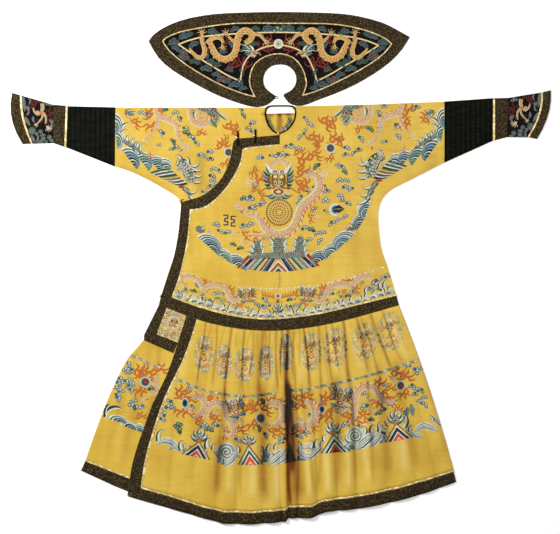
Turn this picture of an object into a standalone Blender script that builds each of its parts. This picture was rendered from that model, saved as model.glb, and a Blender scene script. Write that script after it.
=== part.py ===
"""A court robe of yellow silk and its detached court collar, laid flat.

Metres, +Z up. The robe lies on the plane z = 0 with its front up. +X runs along the sleeves towards the
wearer's left, +Y towards the neck. The origin is under the middle of the whole laid-out set.
"""

import math
from collections import namedtuple

import bmesh
import bpy
from mathutils import Vector
from mathutils.geometry import intersect_line_line_2d

# Cloth and seams
CLOTH = 0.001          # wall of each silk piece
COLLAR_CLOTH = 0.0024  # wall of the stiffened, lined collar
SEAM = 0.0003          # gap between pieces that meet at a seam
PIPING = 0.004         # width of a piped edge
SLEEVE_TRIM = 0.00025  # how far each sleeve piece stops short of its seam's middle

# Heights of the middle of each layer of cloth above the surface
BACK_Z = 0.0005
UNDER_Z = 0.0019
FRONT_Z = 0.0032

# Clearances
HEM_GAP = 0.0006       # along the hem's piping, where steep pleats lean the walls over
MITRE_GAP = 0.0010     # of the hem's pieces past the slanting border's mitred foot
UNDERLAP_INSET = 0.002  # of the hidden front inside the side border's edge
CORNER_GAP = 0.004     # of a cloth's corner from the seam beside it
SHOULDER_GAP = 0.010   # of the neck's curve below the shoulder fold
END_NUDGE = 0.0005     # that keeps a cut just inside the end of a curve

TUCK_UNDER = 0.035     # how far the back apron's shown part runs on under the front one
CENTRE_X = -0.003      # centre front and centre back seam
NECK_CORD = 0.00175    # radius of the black neck binding
BACK_NECK_Y = 0.563    # where the back neck edge lies
FACING_DEPTH = 0.028   # height of the pale facing inside the back neck
KNEE = 0.35            # share of the skirt's length where a pleat's middle x is read
FOLD_STEPS = 4         # facets round a fold of the cloth
RIBS = 19              # fine tucks across each black sleeve band
RIB_HEIGHT = 0.0024
PLEAT_AT_WAIST = 0.25  # share of its height that a pleat has at the waist
PLEAT_GROWTH = 0.6     # power by which it grows towards the hem
PLEAT_ROUND = 0.7      # power of the sine across it: under 1 is rounder

Point = namedtuple("Point", "x y")
Station = namedtuple("Station", "top_x top_y low_x low_y bow")
Pleat = namedtuple("Pleat", "waist_x knee_x hem_x edge_x crest")
Finish = namedtuple("Finish", "colour roughness metallic")
Button = namedtuple("Button", "name x y z radius")
Cord = namedtuple("Cord", "name radius points")

FINISHES = {
    "yellow_silk": Finish((0.62, 0.42, 0.09), 0.45, 0.0),
    "brocade": Finish((0.035, 0.026, 0.016), 0.6, 0.1),
    "gold_piping": Finish((0.72, 0.58, 0.28), 0.4, 0.3),
    "ribbed_silk": Finish((0.008, 0.009, 0.005), 0.55, 0.0),
    "black_satin": Finish((0.008, 0.006, 0.006), 0.45, 0.0),
    "white_silk": Finish((0.85, 0.84, 0.80), 0.5, 0.0),
    "gilt_metal": Finish((0.75, 0.52, 0.18), 0.3, 0.9),
    "black_cord": Finish((0.01, 0.01, 0.01), 0.7, 0.0),
}

# Centre line of the neck binding, once round from the bottom
NECK_RING = [
    Point(-0.007, 0.471), Point(-0.032, 0.485), Point(-0.049, 0.511), Point(-0.054, 0.539),
    Point(-0.049, 0.561), Point(-0.035, 0.566), Point(0.036, 0.566), Point(0.049, 0.560),
    Point(0.052, 0.542), Point(0.045, 0.513), Point(0.024, 0.485),
]

# Shoulder folds, neck to sleeve seam
SHOULDER_LEFT = [Point(0.057, 0.566), Point(0.320, 0.572), Point(0.573, 0.582)]
SHOULDER_RIGHT = [Point(-0.058, 0.562), Point(-0.317, 0.561), Point(-0.578, 0.562)]

# Underarm and side, sleeve seam to waist
UNDERARM_LEFT = [
    Point(0.573, 0.369), Point(0.481, 0.322), Point(0.418, 0.291), Point(0.379, 0.268),
    Point(0.355, 0.240), Point(0.344, 0.210), Point(0.341, 0.182), Point(0.344, 0.126),
    Point(0.351, 0.073), Point(0.363, 0.033), Point(0.372, 0.011),
]
UNDERARM_RIGHT = [
    Point(-0.580, 0.355), Point(-0.527, 0.338), Point(-0.457, 0.305), Point(-0.405, 0.275),
    Point(-0.370, 0.254), Point(-0.351, 0.235),
]
HIP_LEFT = [Point(0.372, 0.011), Point(0.405, -0.096), Point(0.414, -0.130)]

# The brocade borders of the flap, neck to armpit, and of the side, armpit to waist
FLAP_OUTER = [
    Point(0.010, 0.466), Point(-0.035, 0.463), Point(-0.107, 0.456), Point(-0.155, 0.451),
    Point(-0.167, 0.434), Point(-0.176, 0.385), Point(-0.193, 0.338), Point(-0.221, 0.296),
    Point(-0.267, 0.257), Point(-0.303, 0.243), Point(-0.347, 0.231),
]
FLAP_INNER = [
    Point(0.010, 0.433), Point(-0.072, 0.426), Point(-0.125, 0.419), Point(-0.134, 0.406),
    Point(-0.139, 0.374), Point(-0.155, 0.338), Point(-0.184, 0.290), Point(-0.225, 0.243),
    Point(-0.258, 0.218), Point(-0.286, 0.208), Point(-0.317, 0.204),
]
SIDE_OUTER = [
    Point(-0.347, 0.231), Point(-0.353, 0.168), Point(-0.360, 0.108), Point(-0.374, 0.038),
    Point(-0.393, -0.021), Point(-0.410, -0.073), Point(-0.419, -0.105),
]
SIDE_INNER = [
    Point(-0.317, 0.204), Point(-0.321, 0.150), Point(-0.328, 0.088), Point(-0.342, 0.021),
    Point(-0.357, -0.038), Point(-0.381, -0.102),
]

# Seams of the waist, right side to left side
WAIST_TOP = [
    Point(-0.386, 0.005), Point(-0.347, -0.008), Point(-0.247, -0.044), Point(-0.149, -0.062),
    Point(-0.006, -0.067), Point(0.110, -0.052), Point(0.257, -0.025), Point(0.372, 0.011),
]
WAIST_MID = [
    Point(-0.417, -0.090), Point(-0.381, -0.102), Point(-0.295, -0.134), Point(-0.195, -0.162),
    Point(-0.107, -0.176), Point(-0.037, -0.179), Point(0.033, -0.174), Point(0.138, -0.160),
    Point(0.257, -0.132), Point(0.405, -0.096),
]
WAIST_LOW = [
    Point(-0.426, -0.128), Point(-0.330, -0.167), Point(-0.247, -0.193), Point(-0.142, -0.213),
    Point(-0.050, -0.219), Point(0.033, -0.216), Point(0.138, -0.202), Point(0.257, -0.175),
    Point(0.414, -0.130),
]

# The small square tab below the waist band
REN_OUTER = [Point(-0.427, -0.132), Point(-0.478, -0.235), Point(-0.478, -0.253), Point(-0.3755, -0.298)]
REN_INNER = [Point(-0.399, -0.142), Point(-0.434, -0.232), Point(-0.3597, -0.261)]

# The slanting free edge of the front apron, waist to hem
SKIRT_SIDE_OUTER = [
    Point(-0.330, -0.167), Point(-0.359, -0.260), Point(-0.398, -0.373), Point(-0.447, -0.473),
    Point(-0.471, -0.539), Point(-0.494, -0.602), Point(-0.521, -0.693), Point(-0.536, -0.798),
]
SKIRT_SIDE_INNER = [
    Point(-0.293, -0.180), Point(-0.317, -0.256), Point(-0.347, -0.333), Point(-0.384, -0.406),
    Point(-0.421, -0.492), Point(-0.459, -0.613), Point(-0.477, -0.686), Point(-0.489, -0.770),
]

# The front hem: top and bottom of its brocade border
HEM_TOP = [
    Point(-0.489, -0.770), Point(-0.394, -0.796), Point(-0.272, -0.835), Point(-0.198, -0.852),
    Point(-0.100, -0.855), Point(0.019, -0.845), Point(0.027, -0.835), Point(0.110, -0.833),
    Point(0.148, -0.814), Point(0.277, -0.797), Point(0.405, -0.770), Point(0.503, -0.743),
    Point(0.605, -0.711),
]
HEM_LOW = [
    Point(-0.536, -0.798), Point(-0.394, -0.839), Point(-0.272, -0.874), Point(-0.202, -0.893),
    Point(-0.100, -0.896), Point(0.019, -0.886), Point(0.027, -0.874), Point(0.110, -0.873),
    Point(0.159, -0.852), Point(0.277, -0.841), Point(0.405, -0.815), Point(0.503, -0.788),
    Point(0.614, -0.748),
]

# The back apron: its fold down the right side of the wearer, and its hem
BACK_FOLD = [
    Point(-0.421, -0.136), Point(-0.472, -0.243), Point(-0.531, -0.310), Point(-0.575, -0.392),
    Point(-0.617, -0.490), Point(-0.655, -0.592), Point(-0.683, -0.675),
]
BACK_HEM_TOP = [
    Point(-0.683, -0.675), Point(-0.608, -0.705), Point(-0.529, -0.736), Point(-0.394, -0.786),
    Point(-0.200, -0.828), Point(0.100, -0.822), Point(0.405, -0.765), Point(0.600, -0.709),
]
BACK_HEM_LOW = [
    Point(-0.699, -0.709), Point(-0.618, -0.746), Point(-0.534, -0.782), Point(-0.394, -0.823),
    Point(-0.200, -0.866), Point(0.100, -0.860), Point(0.405, -0.803), Point(0.609, -0.746),
]
BACK_RIGHT = [Point(0.412, -0.133), Point(0.470, -0.275), Point(0.505, -0.406), Point(0.572, -0.613)]

# Pleats of the front apron, right to left of the wearer: x at the waist seam, at the knee, at the hem
# seam and at the hem's edge, and how high the cloth stands between this pleat and the next
PLEATS = [
    Pleat(-0.2885, -0.3690, -0.4847, -0.5352, 0.0012),
    Pleat(-0.265, -0.307, -0.394, -0.401, 0.0020),
    Pleat(-0.223, -0.261, -0.310, -0.314, 0.0036),
    Pleat(-0.174, -0.195, -0.226, -0.225, 0.0075),
    Pleat(-0.125, -0.139, -0.156, -0.156, 0.0060),
    Pleat(-0.072, -0.079, -0.055, -0.055, 0.0095),
    Pleat(-0.023, -0.009, 0.003, 0.003, 0.0080),
    Pleat(0.010, 0.019, 0.027, 0.027, 0.0085),
    Pleat(0.040, 0.057, 0.061, 0.061, 0.0105),
    Pleat(0.082, 0.110, 0.131, 0.132, 0.0090),
    Pleat(0.145, 0.173, 0.201, 0.202, 0.0080),
    Pleat(0.225, 0.250, 0.267, 0.269, 0.0085),
    Pleat(0.271, 0.327, 0.379, 0.383, 0.0070),
    Pleat(0.320, 0.390, 0.481, 0.488, 0.0050),
    Pleat(0.365, 0.442, 0.544, 0.553, 0.0028),
    Pleat(0.4135, 0.4895, 0.605, 0.614, 0.0),
]
PLEAT_SHARES = (0.0, 0.22, 0.5, 0.78)
SKIRT_ROWS = (0.0, 0.12, 0.28, 0.5, 0.75, 1.0)

# Seams of the sleeves, body to wrist: the top and the low end of each, and how far its middle bows out
LEFT_SLEEVE = {
    "body": Station(0.573, 0.582, 0.573, 0.369, 0.0),
    "band": Station(0.743, 0.594, 0.742, 0.445, 0.0),
    "piping": Station(0.750, 0.594, 0.750, 0.447, 0.0),
    "cuff_band": Station(0.796, 0.595, 0.792, 0.458, 0.0),
    "cuff": Station(0.912, 0.614, 0.863, 0.457, 0.013),
    "cuff_piping": Station(0.919, 0.616, 0.870, 0.457, 0.013),
    "edge": Station(0.946, 0.622, 0.897, 0.451, 0.015),
}
RIGHT_SLEEVE = {
    "body": Station(-0.578, 0.562, -0.580, 0.355, 0.0),
    "band": Station(-0.745, 0.566, -0.750, 0.422, 0.0),
    "piping": Station(-0.752, 0.568, -0.757, 0.424, 0.0),
    "cuff_band": Station(-0.795, 0.571, -0.795, 0.437, 0.0),
    "cuff": Station(-0.906, 0.603, -0.867, 0.435, -0.010),
    "cuff_piping": Station(-0.913, 0.605, -0.874, 0.435, -0.011),
    "edge": Station(-0.940, 0.613, -0.904, 0.434, -0.0195),
}

# The court collar: its outer edge, its neck hole, and the seam of its dark panel
COLLAR_TOP = [
    Point(-0.462, 0.793), Point(-0.449, 0.812), Point(-0.422, 0.833), Point(-0.380, 0.855),
    Point(-0.317, 0.875), Point(-0.230, 0.889), Point(-0.125, 0.894), Point(-0.002, 0.896),
    Point(0.120, 0.894), Point(0.208, 0.890), Point(0.278, 0.880), Point(0.355, 0.859),
    Point(0.404, 0.835), Point(0.452, 0.808),
]
COLLAR_LOW_LEFT = [
    Point(0.452, 0.808), Point(0.425, 0.765), Point(0.383, 0.721), Point(0.330, 0.682),
    Point(0.260, 0.641), Point(0.190, 0.610), Point(0.131, 0.588), Point(0.089, 0.5715),
    Point(0.062, 0.5668), Point(0.040, 0.5715), Point(0.0265, 0.580), Point(0.016, 0.593),
    Point(0.012, 0.603),
]
COLLAR_HOLE = [
    Point(0.012, 0.603), Point(0.013, 0.610), Point(0.034, 0.620), Point(0.050, 0.639), Point(0.055, 0.661),
    Point(0.048, 0.686), Point(0.027, 0.706), Point(-0.002, 0.712), Point(-0.032, 0.706),
    Point(-0.054, 0.685), Point(-0.061, 0.658), Point(-0.055, 0.634), Point(-0.039, 0.617),
    Point(-0.015, 0.601),
]
COLLAR_LOW_RIGHT = [
    Point(-0.015, 0.601), Point(-0.025, 0.588), Point(-0.048, 0.5705), Point(-0.083, 0.5627),
    Point(-0.121, 0.569), Point(-0.177, 0.587), Point(-0.240, 0.613), Point(-0.317, 0.654),
    Point(-0.380, 0.693), Point(-0.429, 0.737), Point(-0.462, 0.793),
]
PANEL_TOP = [
    Point(-0.415, 0.794), Point(-0.400, 0.808), Point(-0.352, 0.828), Point(-0.265, 0.845),
    Point(-0.160, 0.858), Point(-0.002, 0.858), Point(0.155, 0.857), Point(0.243, 0.847),
    Point(0.320, 0.826), Point(0.369, 0.803), Point(0.391, 0.784),
]
PANEL_LOW_LEFT = [
    Point(0.391, 0.784), Point(0.362, 0.749), Point(0.313, 0.712), Point(0.243, 0.672),
    Point(0.173, 0.637), Point(0.120, 0.615), Point(0.074, 0.601),
]
PANEL_HOLE = [
    Point(0.074, 0.601), Point(0.087, 0.637), Point(0.086, 0.661), Point(0.073, 0.700),
    Point(0.043, 0.734), Point(-0.002, 0.748), Point(-0.051, 0.739), Point(-0.088, 0.714),
    Point(-0.105, 0.675), Point(-0.105, 0.637), Point(-0.087, 0.597),
]
PANEL_LOW_RIGHT = [
    Point(-0.087, 0.597), Point(-0.125, 0.606), Point(-0.195, 0.632), Point(-0.265, 0.668),
    Point(-0.335, 0.712), Point(-0.391, 0.758), Point(-0.415, 0.794),
]

# Fastenings
BUTTONS = [
    Button("neck_button", -0.009, 0.4705, 0.0093, 0.0040),
    Button("toggle_ball_1", -0.1537, 0.456, 0.0078, 0.0038),
    Button("toggle_ball_2", -0.0932, 0.463, 0.0065, 0.0038),
    Button("armpit_button", -0.352, 0.2345, 0.0075, 0.0034),
    Button("waist_button", -0.4217, -0.098, 0.0042, 0.0034),
    Button("skirt_button", -0.350, -0.318, 0.0070, 0.0030),
    Button("collar_button", 0.0090, 0.6010, 0.0034, 0.0034),
]
CORDS = [
    Cord("toggle_cord_1", 0.0011, [
        (-0.150, 0.478, 0.0039), (-0.150, 0.465, 0.0045), (-0.149, 0.455, 0.0052),
        (-0.149, 0.440, 0.0052), (-0.149, 0.427, 0.0052),
    ]),
    Cord("toggle_cord_2", 0.0011, [
        (-0.088, 0.485, 0.0039), (-0.088, 0.470, 0.0045), (-0.088, 0.458, 0.0052),
        (-0.088, 0.447, 0.0052), (-0.088, 0.437, 0.0052),
    ]),
    Cord("armpit_loop", 0.0010, [
        (-0.345, 0.223, 0.0051), (-0.349, 0.229, 0.0052), (-0.3475, 0.237, 0.0052),
        (-0.340, 0.240, 0.0050),
    ]),
    Cord("waist_loop", 0.0010, [
        (-0.404, -0.100, 0.0051), (-0.412, -0.100, 0.0051), (-0.4175, -0.099, 0.0051),
    ]),
    Cord("collar_loop", 0.0008, [
        (-0.0190, 0.6015, 0.0036), (-0.0135, 0.6005, 0.0035), (-0.0100, 0.5970, 0.0028),
        (-0.0120, 0.5925, 0.0028), (-0.0180, 0.5920, 0.0035), (-0.0240, 0.5955, 0.0036),
    ]),
]


def clear_scene():
    for item in list(bpy.data.objects):
        bpy.data.objects.remove(item, do_unlink=True)


# Curves in the plane


def smooth(points, steps=2):
    """The points of a Catmull-Rom curve through the given ones, with so many steps between each two."""
    out = []
    for i in range(len(points) - 1):
        before = points[max(i - 1, 0)]
        start, end = points[i], points[i + 1]
        after = points[min(i + 2, len(points) - 1)]
        for k in range(steps):
            t = k / steps
            weights = (
                (-t**3 + 2 * t**2 - t) / 2, (3 * t**3 - 5 * t**2 + 2) / 2,
                (-3 * t**3 + 4 * t**2 + t) / 2, (t**3 - t**2) / 2,
            )
            sources = (before, start, end, after)
            out.append(Vector((sum(w * p[0] for w, p in zip(weights, sources)),
                               sum(w * p[1] for w, p in zip(weights, sources)))))
    out.append(Vector(points[-1]))
    return out


def left_of(start, end):
    """The unit vector to the left of the way from start to end."""
    way = (end - start).normalized()
    return Vector((-way.y, way.x))


def moved_corner(corner, before, after, before_by, after_by):
    """The corner of two lines through `corner`, each moved to its left by its own distance."""
    a, b = left_of(before, corner), left_of(corner, after)
    turn = a.x * b.y - a.y * b.x
    if abs(turn) < 0.02:
        return corner + (a + b).normalized() * (before_by + after_by) / 2
    across = before_by * b.y - after_by * a.y
    along = after_by * a.x - before_by * b.x
    return corner + Vector((across, along)) / turn


def beside(curve, distance):
    """An open curve moved to its left."""
    out = []
    last = len(curve) - 1
    for i, here in enumerate(curve):
        before = curve[i - 1] if i else here - (curve[1] - here)
        after = curve[i + 1] if i < last else here + (here - curve[i - 1])
        out.append(moved_corner(here, before, after, distance, distance))
    return out


def signed_area(outline):
    return sum(a.x * b.y - b.x * a.y for a, b in zip(outline, outline[1:] + outline[:1])) / 2


def without_repeats(outline, least=0.0004):
    kept = []
    for point in outline:
        if not kept or (point - kept[-1]).length > least:
            kept.append(point)
    while (kept[-1] - kept[0]).length <= least:
        kept.pop()
    return kept


def drawn_in(outline, distances):
    """A closed outline with each edge moved to its left by its own distance."""
    count = len(outline)
    return [
        moved_corner(outline[i], outline[i - 1], outline[(i + 1) % count], distances[i - 1], distances[i])
        for i in range(count)
    ]


def inset(outline, distance=SEAM / 2):
    """A closed outline, run anticlockwise and drawn in all round by one distance."""
    outline = without_repeats(outline)
    if signed_area(outline) < 0:
        outline = outline[::-1]
    return drawn_in(outline, [distance] * len(outline))


def lengthened(curve, by=0.01):
    """The curve with both its ends run straight on a little way."""
    first = curve[0] + (curve[0] - curve[1]).normalized() * by
    last = curve[-1] + (curve[-1] - curve[-2]).normalized() * by
    return [first, *curve[1:-1], last]


def crossing(curve, cutter):
    """(index, point): where the curve first meets the cutter."""
    curve, cutter = lengthened(curve), lengthened(cutter)
    for i in range(len(curve) - 1):
        for k in range(len(cutter) - 1):
            met = intersect_line_line_2d(curve[i], curve[i + 1], cutter[k], cutter[k + 1])
            if met is not None:
                return i, met
    raise ValueError("two seams that should meet do not")


def between(curve, first, second):
    """The part of the curve between its crossings with two others."""
    i, start = crossing(curve, first)
    k, end = crossing(curve, second)
    if k < i or (k == i and (end - curve[i]).length < (start - curve[i]).length):
        i, start, k, end = k, end, i, start
    return [start] + curve[i + 1 : k + 1] + [end]


def height_at(curve, x):
    """The y of a curve that runs along X, at the given x."""
    for a, b in zip(curve, curve[1:]):
        if a.x <= x <= b.x:
            return a.y + (b.y - a.y) * (x - a.x) / (b.x - a.x)
    return curve[0].y if x < curve[0].x else curve[-1].y


def across_at(curve, y):
    """The x of a curve that runs down along Y, at the given y."""
    for a, b in zip(curve, curve[1:]):
        if a.y >= y >= b.y:
            return a.x + (b.x - a.x) * (y - a.y) / (b.y - a.y)
    return curve[0].x if y > curve[0].y else curve[-1].x


def line_x(x):
    return [Vector((x, 1.0)), Vector((x, -1.0))]


# Solids


def material_for(name, finish):
    values = FINISHES[finish]
    material = bpy.data.materials.new(name)
    material.use_nodes = True
    shader = material.node_tree.nodes["Principled BSDF"]
    shader.inputs["Base Color"].default_value = (*values.colour, 1.0)
    shader.inputs["Roughness"].default_value = values.roughness
    shader.inputs["Metallic"].default_value = values.metallic
    return material


def keep(item, finish):
    item.data.materials.append(material_for(item.name, finish))
    ROBE.objects.link(item)
    return item


def flat_piece(name, outline, middle_z, finish, wall=CLOTH):
    """Flat cloth cut to an outline."""
    curve = bpy.data.curves.new(name, "CURVE")
    curve.dimensions = "2D"
    curve.fill_mode = "BOTH"
    curve.extrude = wall / 2
    add_loop(curve, inset(outline))
    item = bpy.data.objects.new(name, curve)
    item.location.z = middle_z
    return keep(item, finish)


def add_loop(curve, outline):
    spline = curve.splines.new("POLY")
    spline.points.add(len(outline) - 1)
    for target, point in zip(spline.points, outline):
        target.co = (point.x, point.y, 0.0, 1.0)
    spline.use_cyclic_u = True


def ring_piece(name, outer, inner, middle_z, finish, wall=CLOTH):
    """Flat cloth between two closed outlines."""
    item = flat_piece(name, outer, middle_z, finish, wall)
    add_loop(item.data, inset(inner, -SEAM / 2))
    return item


def thickened(name, mesh_maker, finish, wall=CLOTH):
    """An open sheet given its wall."""
    mesh = bpy.data.meshes.new(name)
    maker = bmesh.new()
    mesh_maker(maker)
    bmesh.ops.recalc_face_normals(maker, faces=maker.faces)
    maker.to_mesh(mesh)
    maker.free()
    item = bpy.data.objects.new(name, mesh)
    wall_modifier = item.modifiers.new("wall", "SOLIDIFY")
    wall_modifier.thickness = wall
    wall_modifier.offset = 0.0
    wall_modifier.use_even_offset = True
    return keep(item, finish)


def grid_piece(name, rows, finish, closed=False):
    """Cloth through rows of points; closed joins the last point of each row to its first."""
    def make(maker):
        grid = [[maker.verts.new(point) for point in row] for row in rows]
        count = len(grid[0])
        for upper, lower in zip(grid, grid[1:]):
            for i in range(count if closed else count - 1):
                k = (i + 1) % count
                maker.faces.new((upper[i], upper[k], lower[k], lower[i]))
    return thickened(name, make, finish)


def folded_piece(name, fold, front_rest, back_rest, front_z, finish):
    """One cloth folded along an edge: the back lies low and the front on top of it.

    Each rest runs on from the fold's end, round the panel and back to the fold's start.
    """
    reach = (front_z - BACK_Z) / 2
    layers = []
    for rest, z in ((back_rest, BACK_Z), (front_rest, front_z)):
        outline = fold + without_repeats(rest)
        side = 1 if signed_area(outline) > 0 else -1
        gaps = [reach + CLOTH / 2] * (len(fold) - 1) + [SEAM / 2] * (len(outline) - len(fold) + 1)
        layers.append((drawn_in(outline, [side * gap for gap in gaps]), z))
    count = len(fold)
    low_edge, high_edge = layers[0][0][:count], layers[1][0][:count]
    outward = [(rim - (a + b) / 2).normalized() for rim, a, b in zip(fold, low_edge, high_edge)]

    def make(maker):
        strips = []
        for outline, z in layers:
            corners = [maker.verts.new((p.x, p.y, z)) for p in outline]
            maker.faces.new(corners)
            strips.append(corners[:count])
        for k in range(1, FOLD_STEPS):
            share = k / FOLD_STEPS
            out_by = reach * math.sin(math.pi * share)
            lift = (BACK_Z + front_z) / 2 - reach * math.cos(math.pi * share)
            row = []
            for low, high, way in zip(low_edge, high_edge, outward):
                place = low.lerp(high, share) + way * out_by
                row.append(maker.verts.new((place.x, place.y, lift)))
            strips.insert(-1, row)
        for low, high in zip(strips, strips[1:]):
            for i in range(count - 1):
                maker.faces.new((low[i], low[i + 1], high[i + 1], high[i]))
    return thickened(name, make, finish)


def sleeve_ring(station, shift, front_z, steps):
    """One section of a flattened sleeve, once round from its low end: back, top fold, front, low fold."""
    top = Vector((station.top_x + shift, station.top_y))
    low = Vector((station.low_x + shift, station.low_y))
    way = (top - low).normalized()
    reach = (front_z - BACK_Z) / 2
    top -= way * (reach + CLOTH / 2)
    low += way * (reach + CLOTH / 2)
    middle_z = (front_z + BACK_Z) / 2
    line = []
    for k in range(steps + 1):
        share = k / steps
        point = low.lerp(top, share)
        point.x += station.bow * 4 * share * (1 - share)
        line.append(point)
    ring = [(p.x, p.y, BACK_Z) for p in line]
    ring.append((top.x + way.x * reach, top.y + way.y * reach, middle_z))
    ring += [(p.x, p.y, front_z) for p in reversed(line)]
    ring.append((low.x - way.x * reach, low.y - way.y * reach, middle_z))
    return ring


def mixed(start, end, share):
    return Station(*(a + (b - a) * share for a, b in zip(start, end)))


def sleeve_piece(name, start, end, front_z, finish, ribs=0):
    """A length of sleeve between two seams, with fine tucks across its front where ribs are given."""
    sense = 1 if end.top_x > start.top_x else -1
    trim = sense * SLEEVE_TRIM
    count = 2 * ribs if ribs else 1
    rows = []
    for k in range(count + 1):
        share = k / count
        raised = RIB_HEIGHT if ribs and k % 2 else 0.0
        shift = trim * (1 - 2 * share)
        bowed = start.bow or end.bow
        rows.append(sleeve_ring(mixed(start, end, share), shift, front_z + raised, 5 if bowed else 1))
    return grid_piece(name, rows, finish, closed=True)


def cord_piece(name, points, radius, finish, closed=False):
    curve = bpy.data.curves.new(name, "CURVE")
    curve.dimensions = "3D"
    curve.bevel_depth = radius
    curve.bevel_resolution = 2
    curve.use_fill_caps = not closed
    spline = curve.splines.new("POLY")
    spline.points.add(len(points) - 1)
    for target, point in zip(spline.points, points):
        target.co = (*point, 1.0)
    spline.use_cyclic_u = closed
    return keep(bpy.data.objects.new(name, curve), finish)


def ball_piece(button):
    mesh = bpy.data.meshes.new(button.name)
    maker = bmesh.new()
    bmesh.ops.create_uvsphere(maker, u_segments=10, v_segments=6, radius=button.radius)
    maker.to_mesh(mesh)
    maker.free()
    mesh.shade_smooth()
    item = bpy.data.objects.new(button.name, mesh)
    item.location = (button.x, button.y, button.z)
    return keep(item, "gilt_metal")


# The pleated apron


def pleat_x(pleat, share):
    """The x of a pleat at a share of the way from the waist seam to the hem seam."""
    at_waist = (share - KNEE) * (share - 1) / KNEE
    at_knee = share * (share - 1) / (KNEE * (KNEE - 1))
    at_hem = share * (share - KNEE) / (1 - KNEE)
    return pleat.waist_x * at_waist + pleat.knee_x * at_knee + pleat.hem_x * at_hem


def pleat_columns(places):
    """(x, standing height at the hem) of each column of cloth, from the x of each pleat."""
    columns = []
    for i, pleat in enumerate(PLEATS[:-1]):
        for share in PLEAT_SHARES:
            x = places[i] + (places[i + 1] - places[i]) * share
            columns.append((x, pleat.crest * math.sin(math.pi * share) ** PLEAT_ROUND))
    columns.append((places[-1], 0.0))
    return columns


def make_apron(waist_low, hem_top, hem_low, free_edge):
    """The pleated front apron with its hem's piping and border. Returns its seam on the free edge."""
    top_line = [Vector((p.x, p.y - SEAM)) for p in waist_low]
    foot_line = [Vector((p.x, p.y + PIPING + HEM_GAP)) for p in hem_top]

    def ends_on(line, places):
        start = crossing(free_edge, line)[1].x + SEAM / 2
        return [height_at(line, x) for x, _ in pleat_columns([start, *places])]

    tops = ends_on(top_line, [pleat.waist_x for pleat in PLEATS[1:]])
    feet = ends_on(foot_line, [pleat.hem_x for pleat in PLEATS[1:]])
    side_seam = []
    rows = []
    for share in SKIRT_ROWS:
        grown = PLEAT_AT_WAIST + (1 - PLEAT_AT_WAIST) * share**PLEAT_GROWTH
        heights = [top + (foot - top) * share for top, foot in zip(tops, feet)]
        side_seam.append(Vector((across_at(free_edge, heights[0]), heights[0])))
        places = [side_seam[-1].x + SEAM / 2] + [pleat_x(pleat, share) for pleat in PLEATS[1:]]
        rows.append([
            (x, y, FRONT_Z + crest * grown) for (x, crest), y in zip(pleat_columns(places), heights)
        ])
    grid_piece("skirt_front", rows, "yellow_silk")

    corner_x = SKIRT_SIDE_INNER[-1].x + MITRE_GAP
    columns = pleat_columns([corner_x] + [pleat.hem_x for pleat in PLEATS[1:]])
    edge = pleat_columns([pleat.edge_x for pleat in PLEATS])

    def run(line, columns, up):
        return [(x, height_at(line, x) + up, FRONT_Z + crest) for x, crest in columns]

    grid_piece("skirt_hem_piping", [run(hem_top, columns, PIPING), run(hem_top, columns, 0.0)],
               "gold_piping")
    grid_piece("skirt_hem_border", [run(hem_top, columns, -HEM_GAP), run(hem_low, edge, 0.0)], "brocade")
    return side_seam


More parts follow.
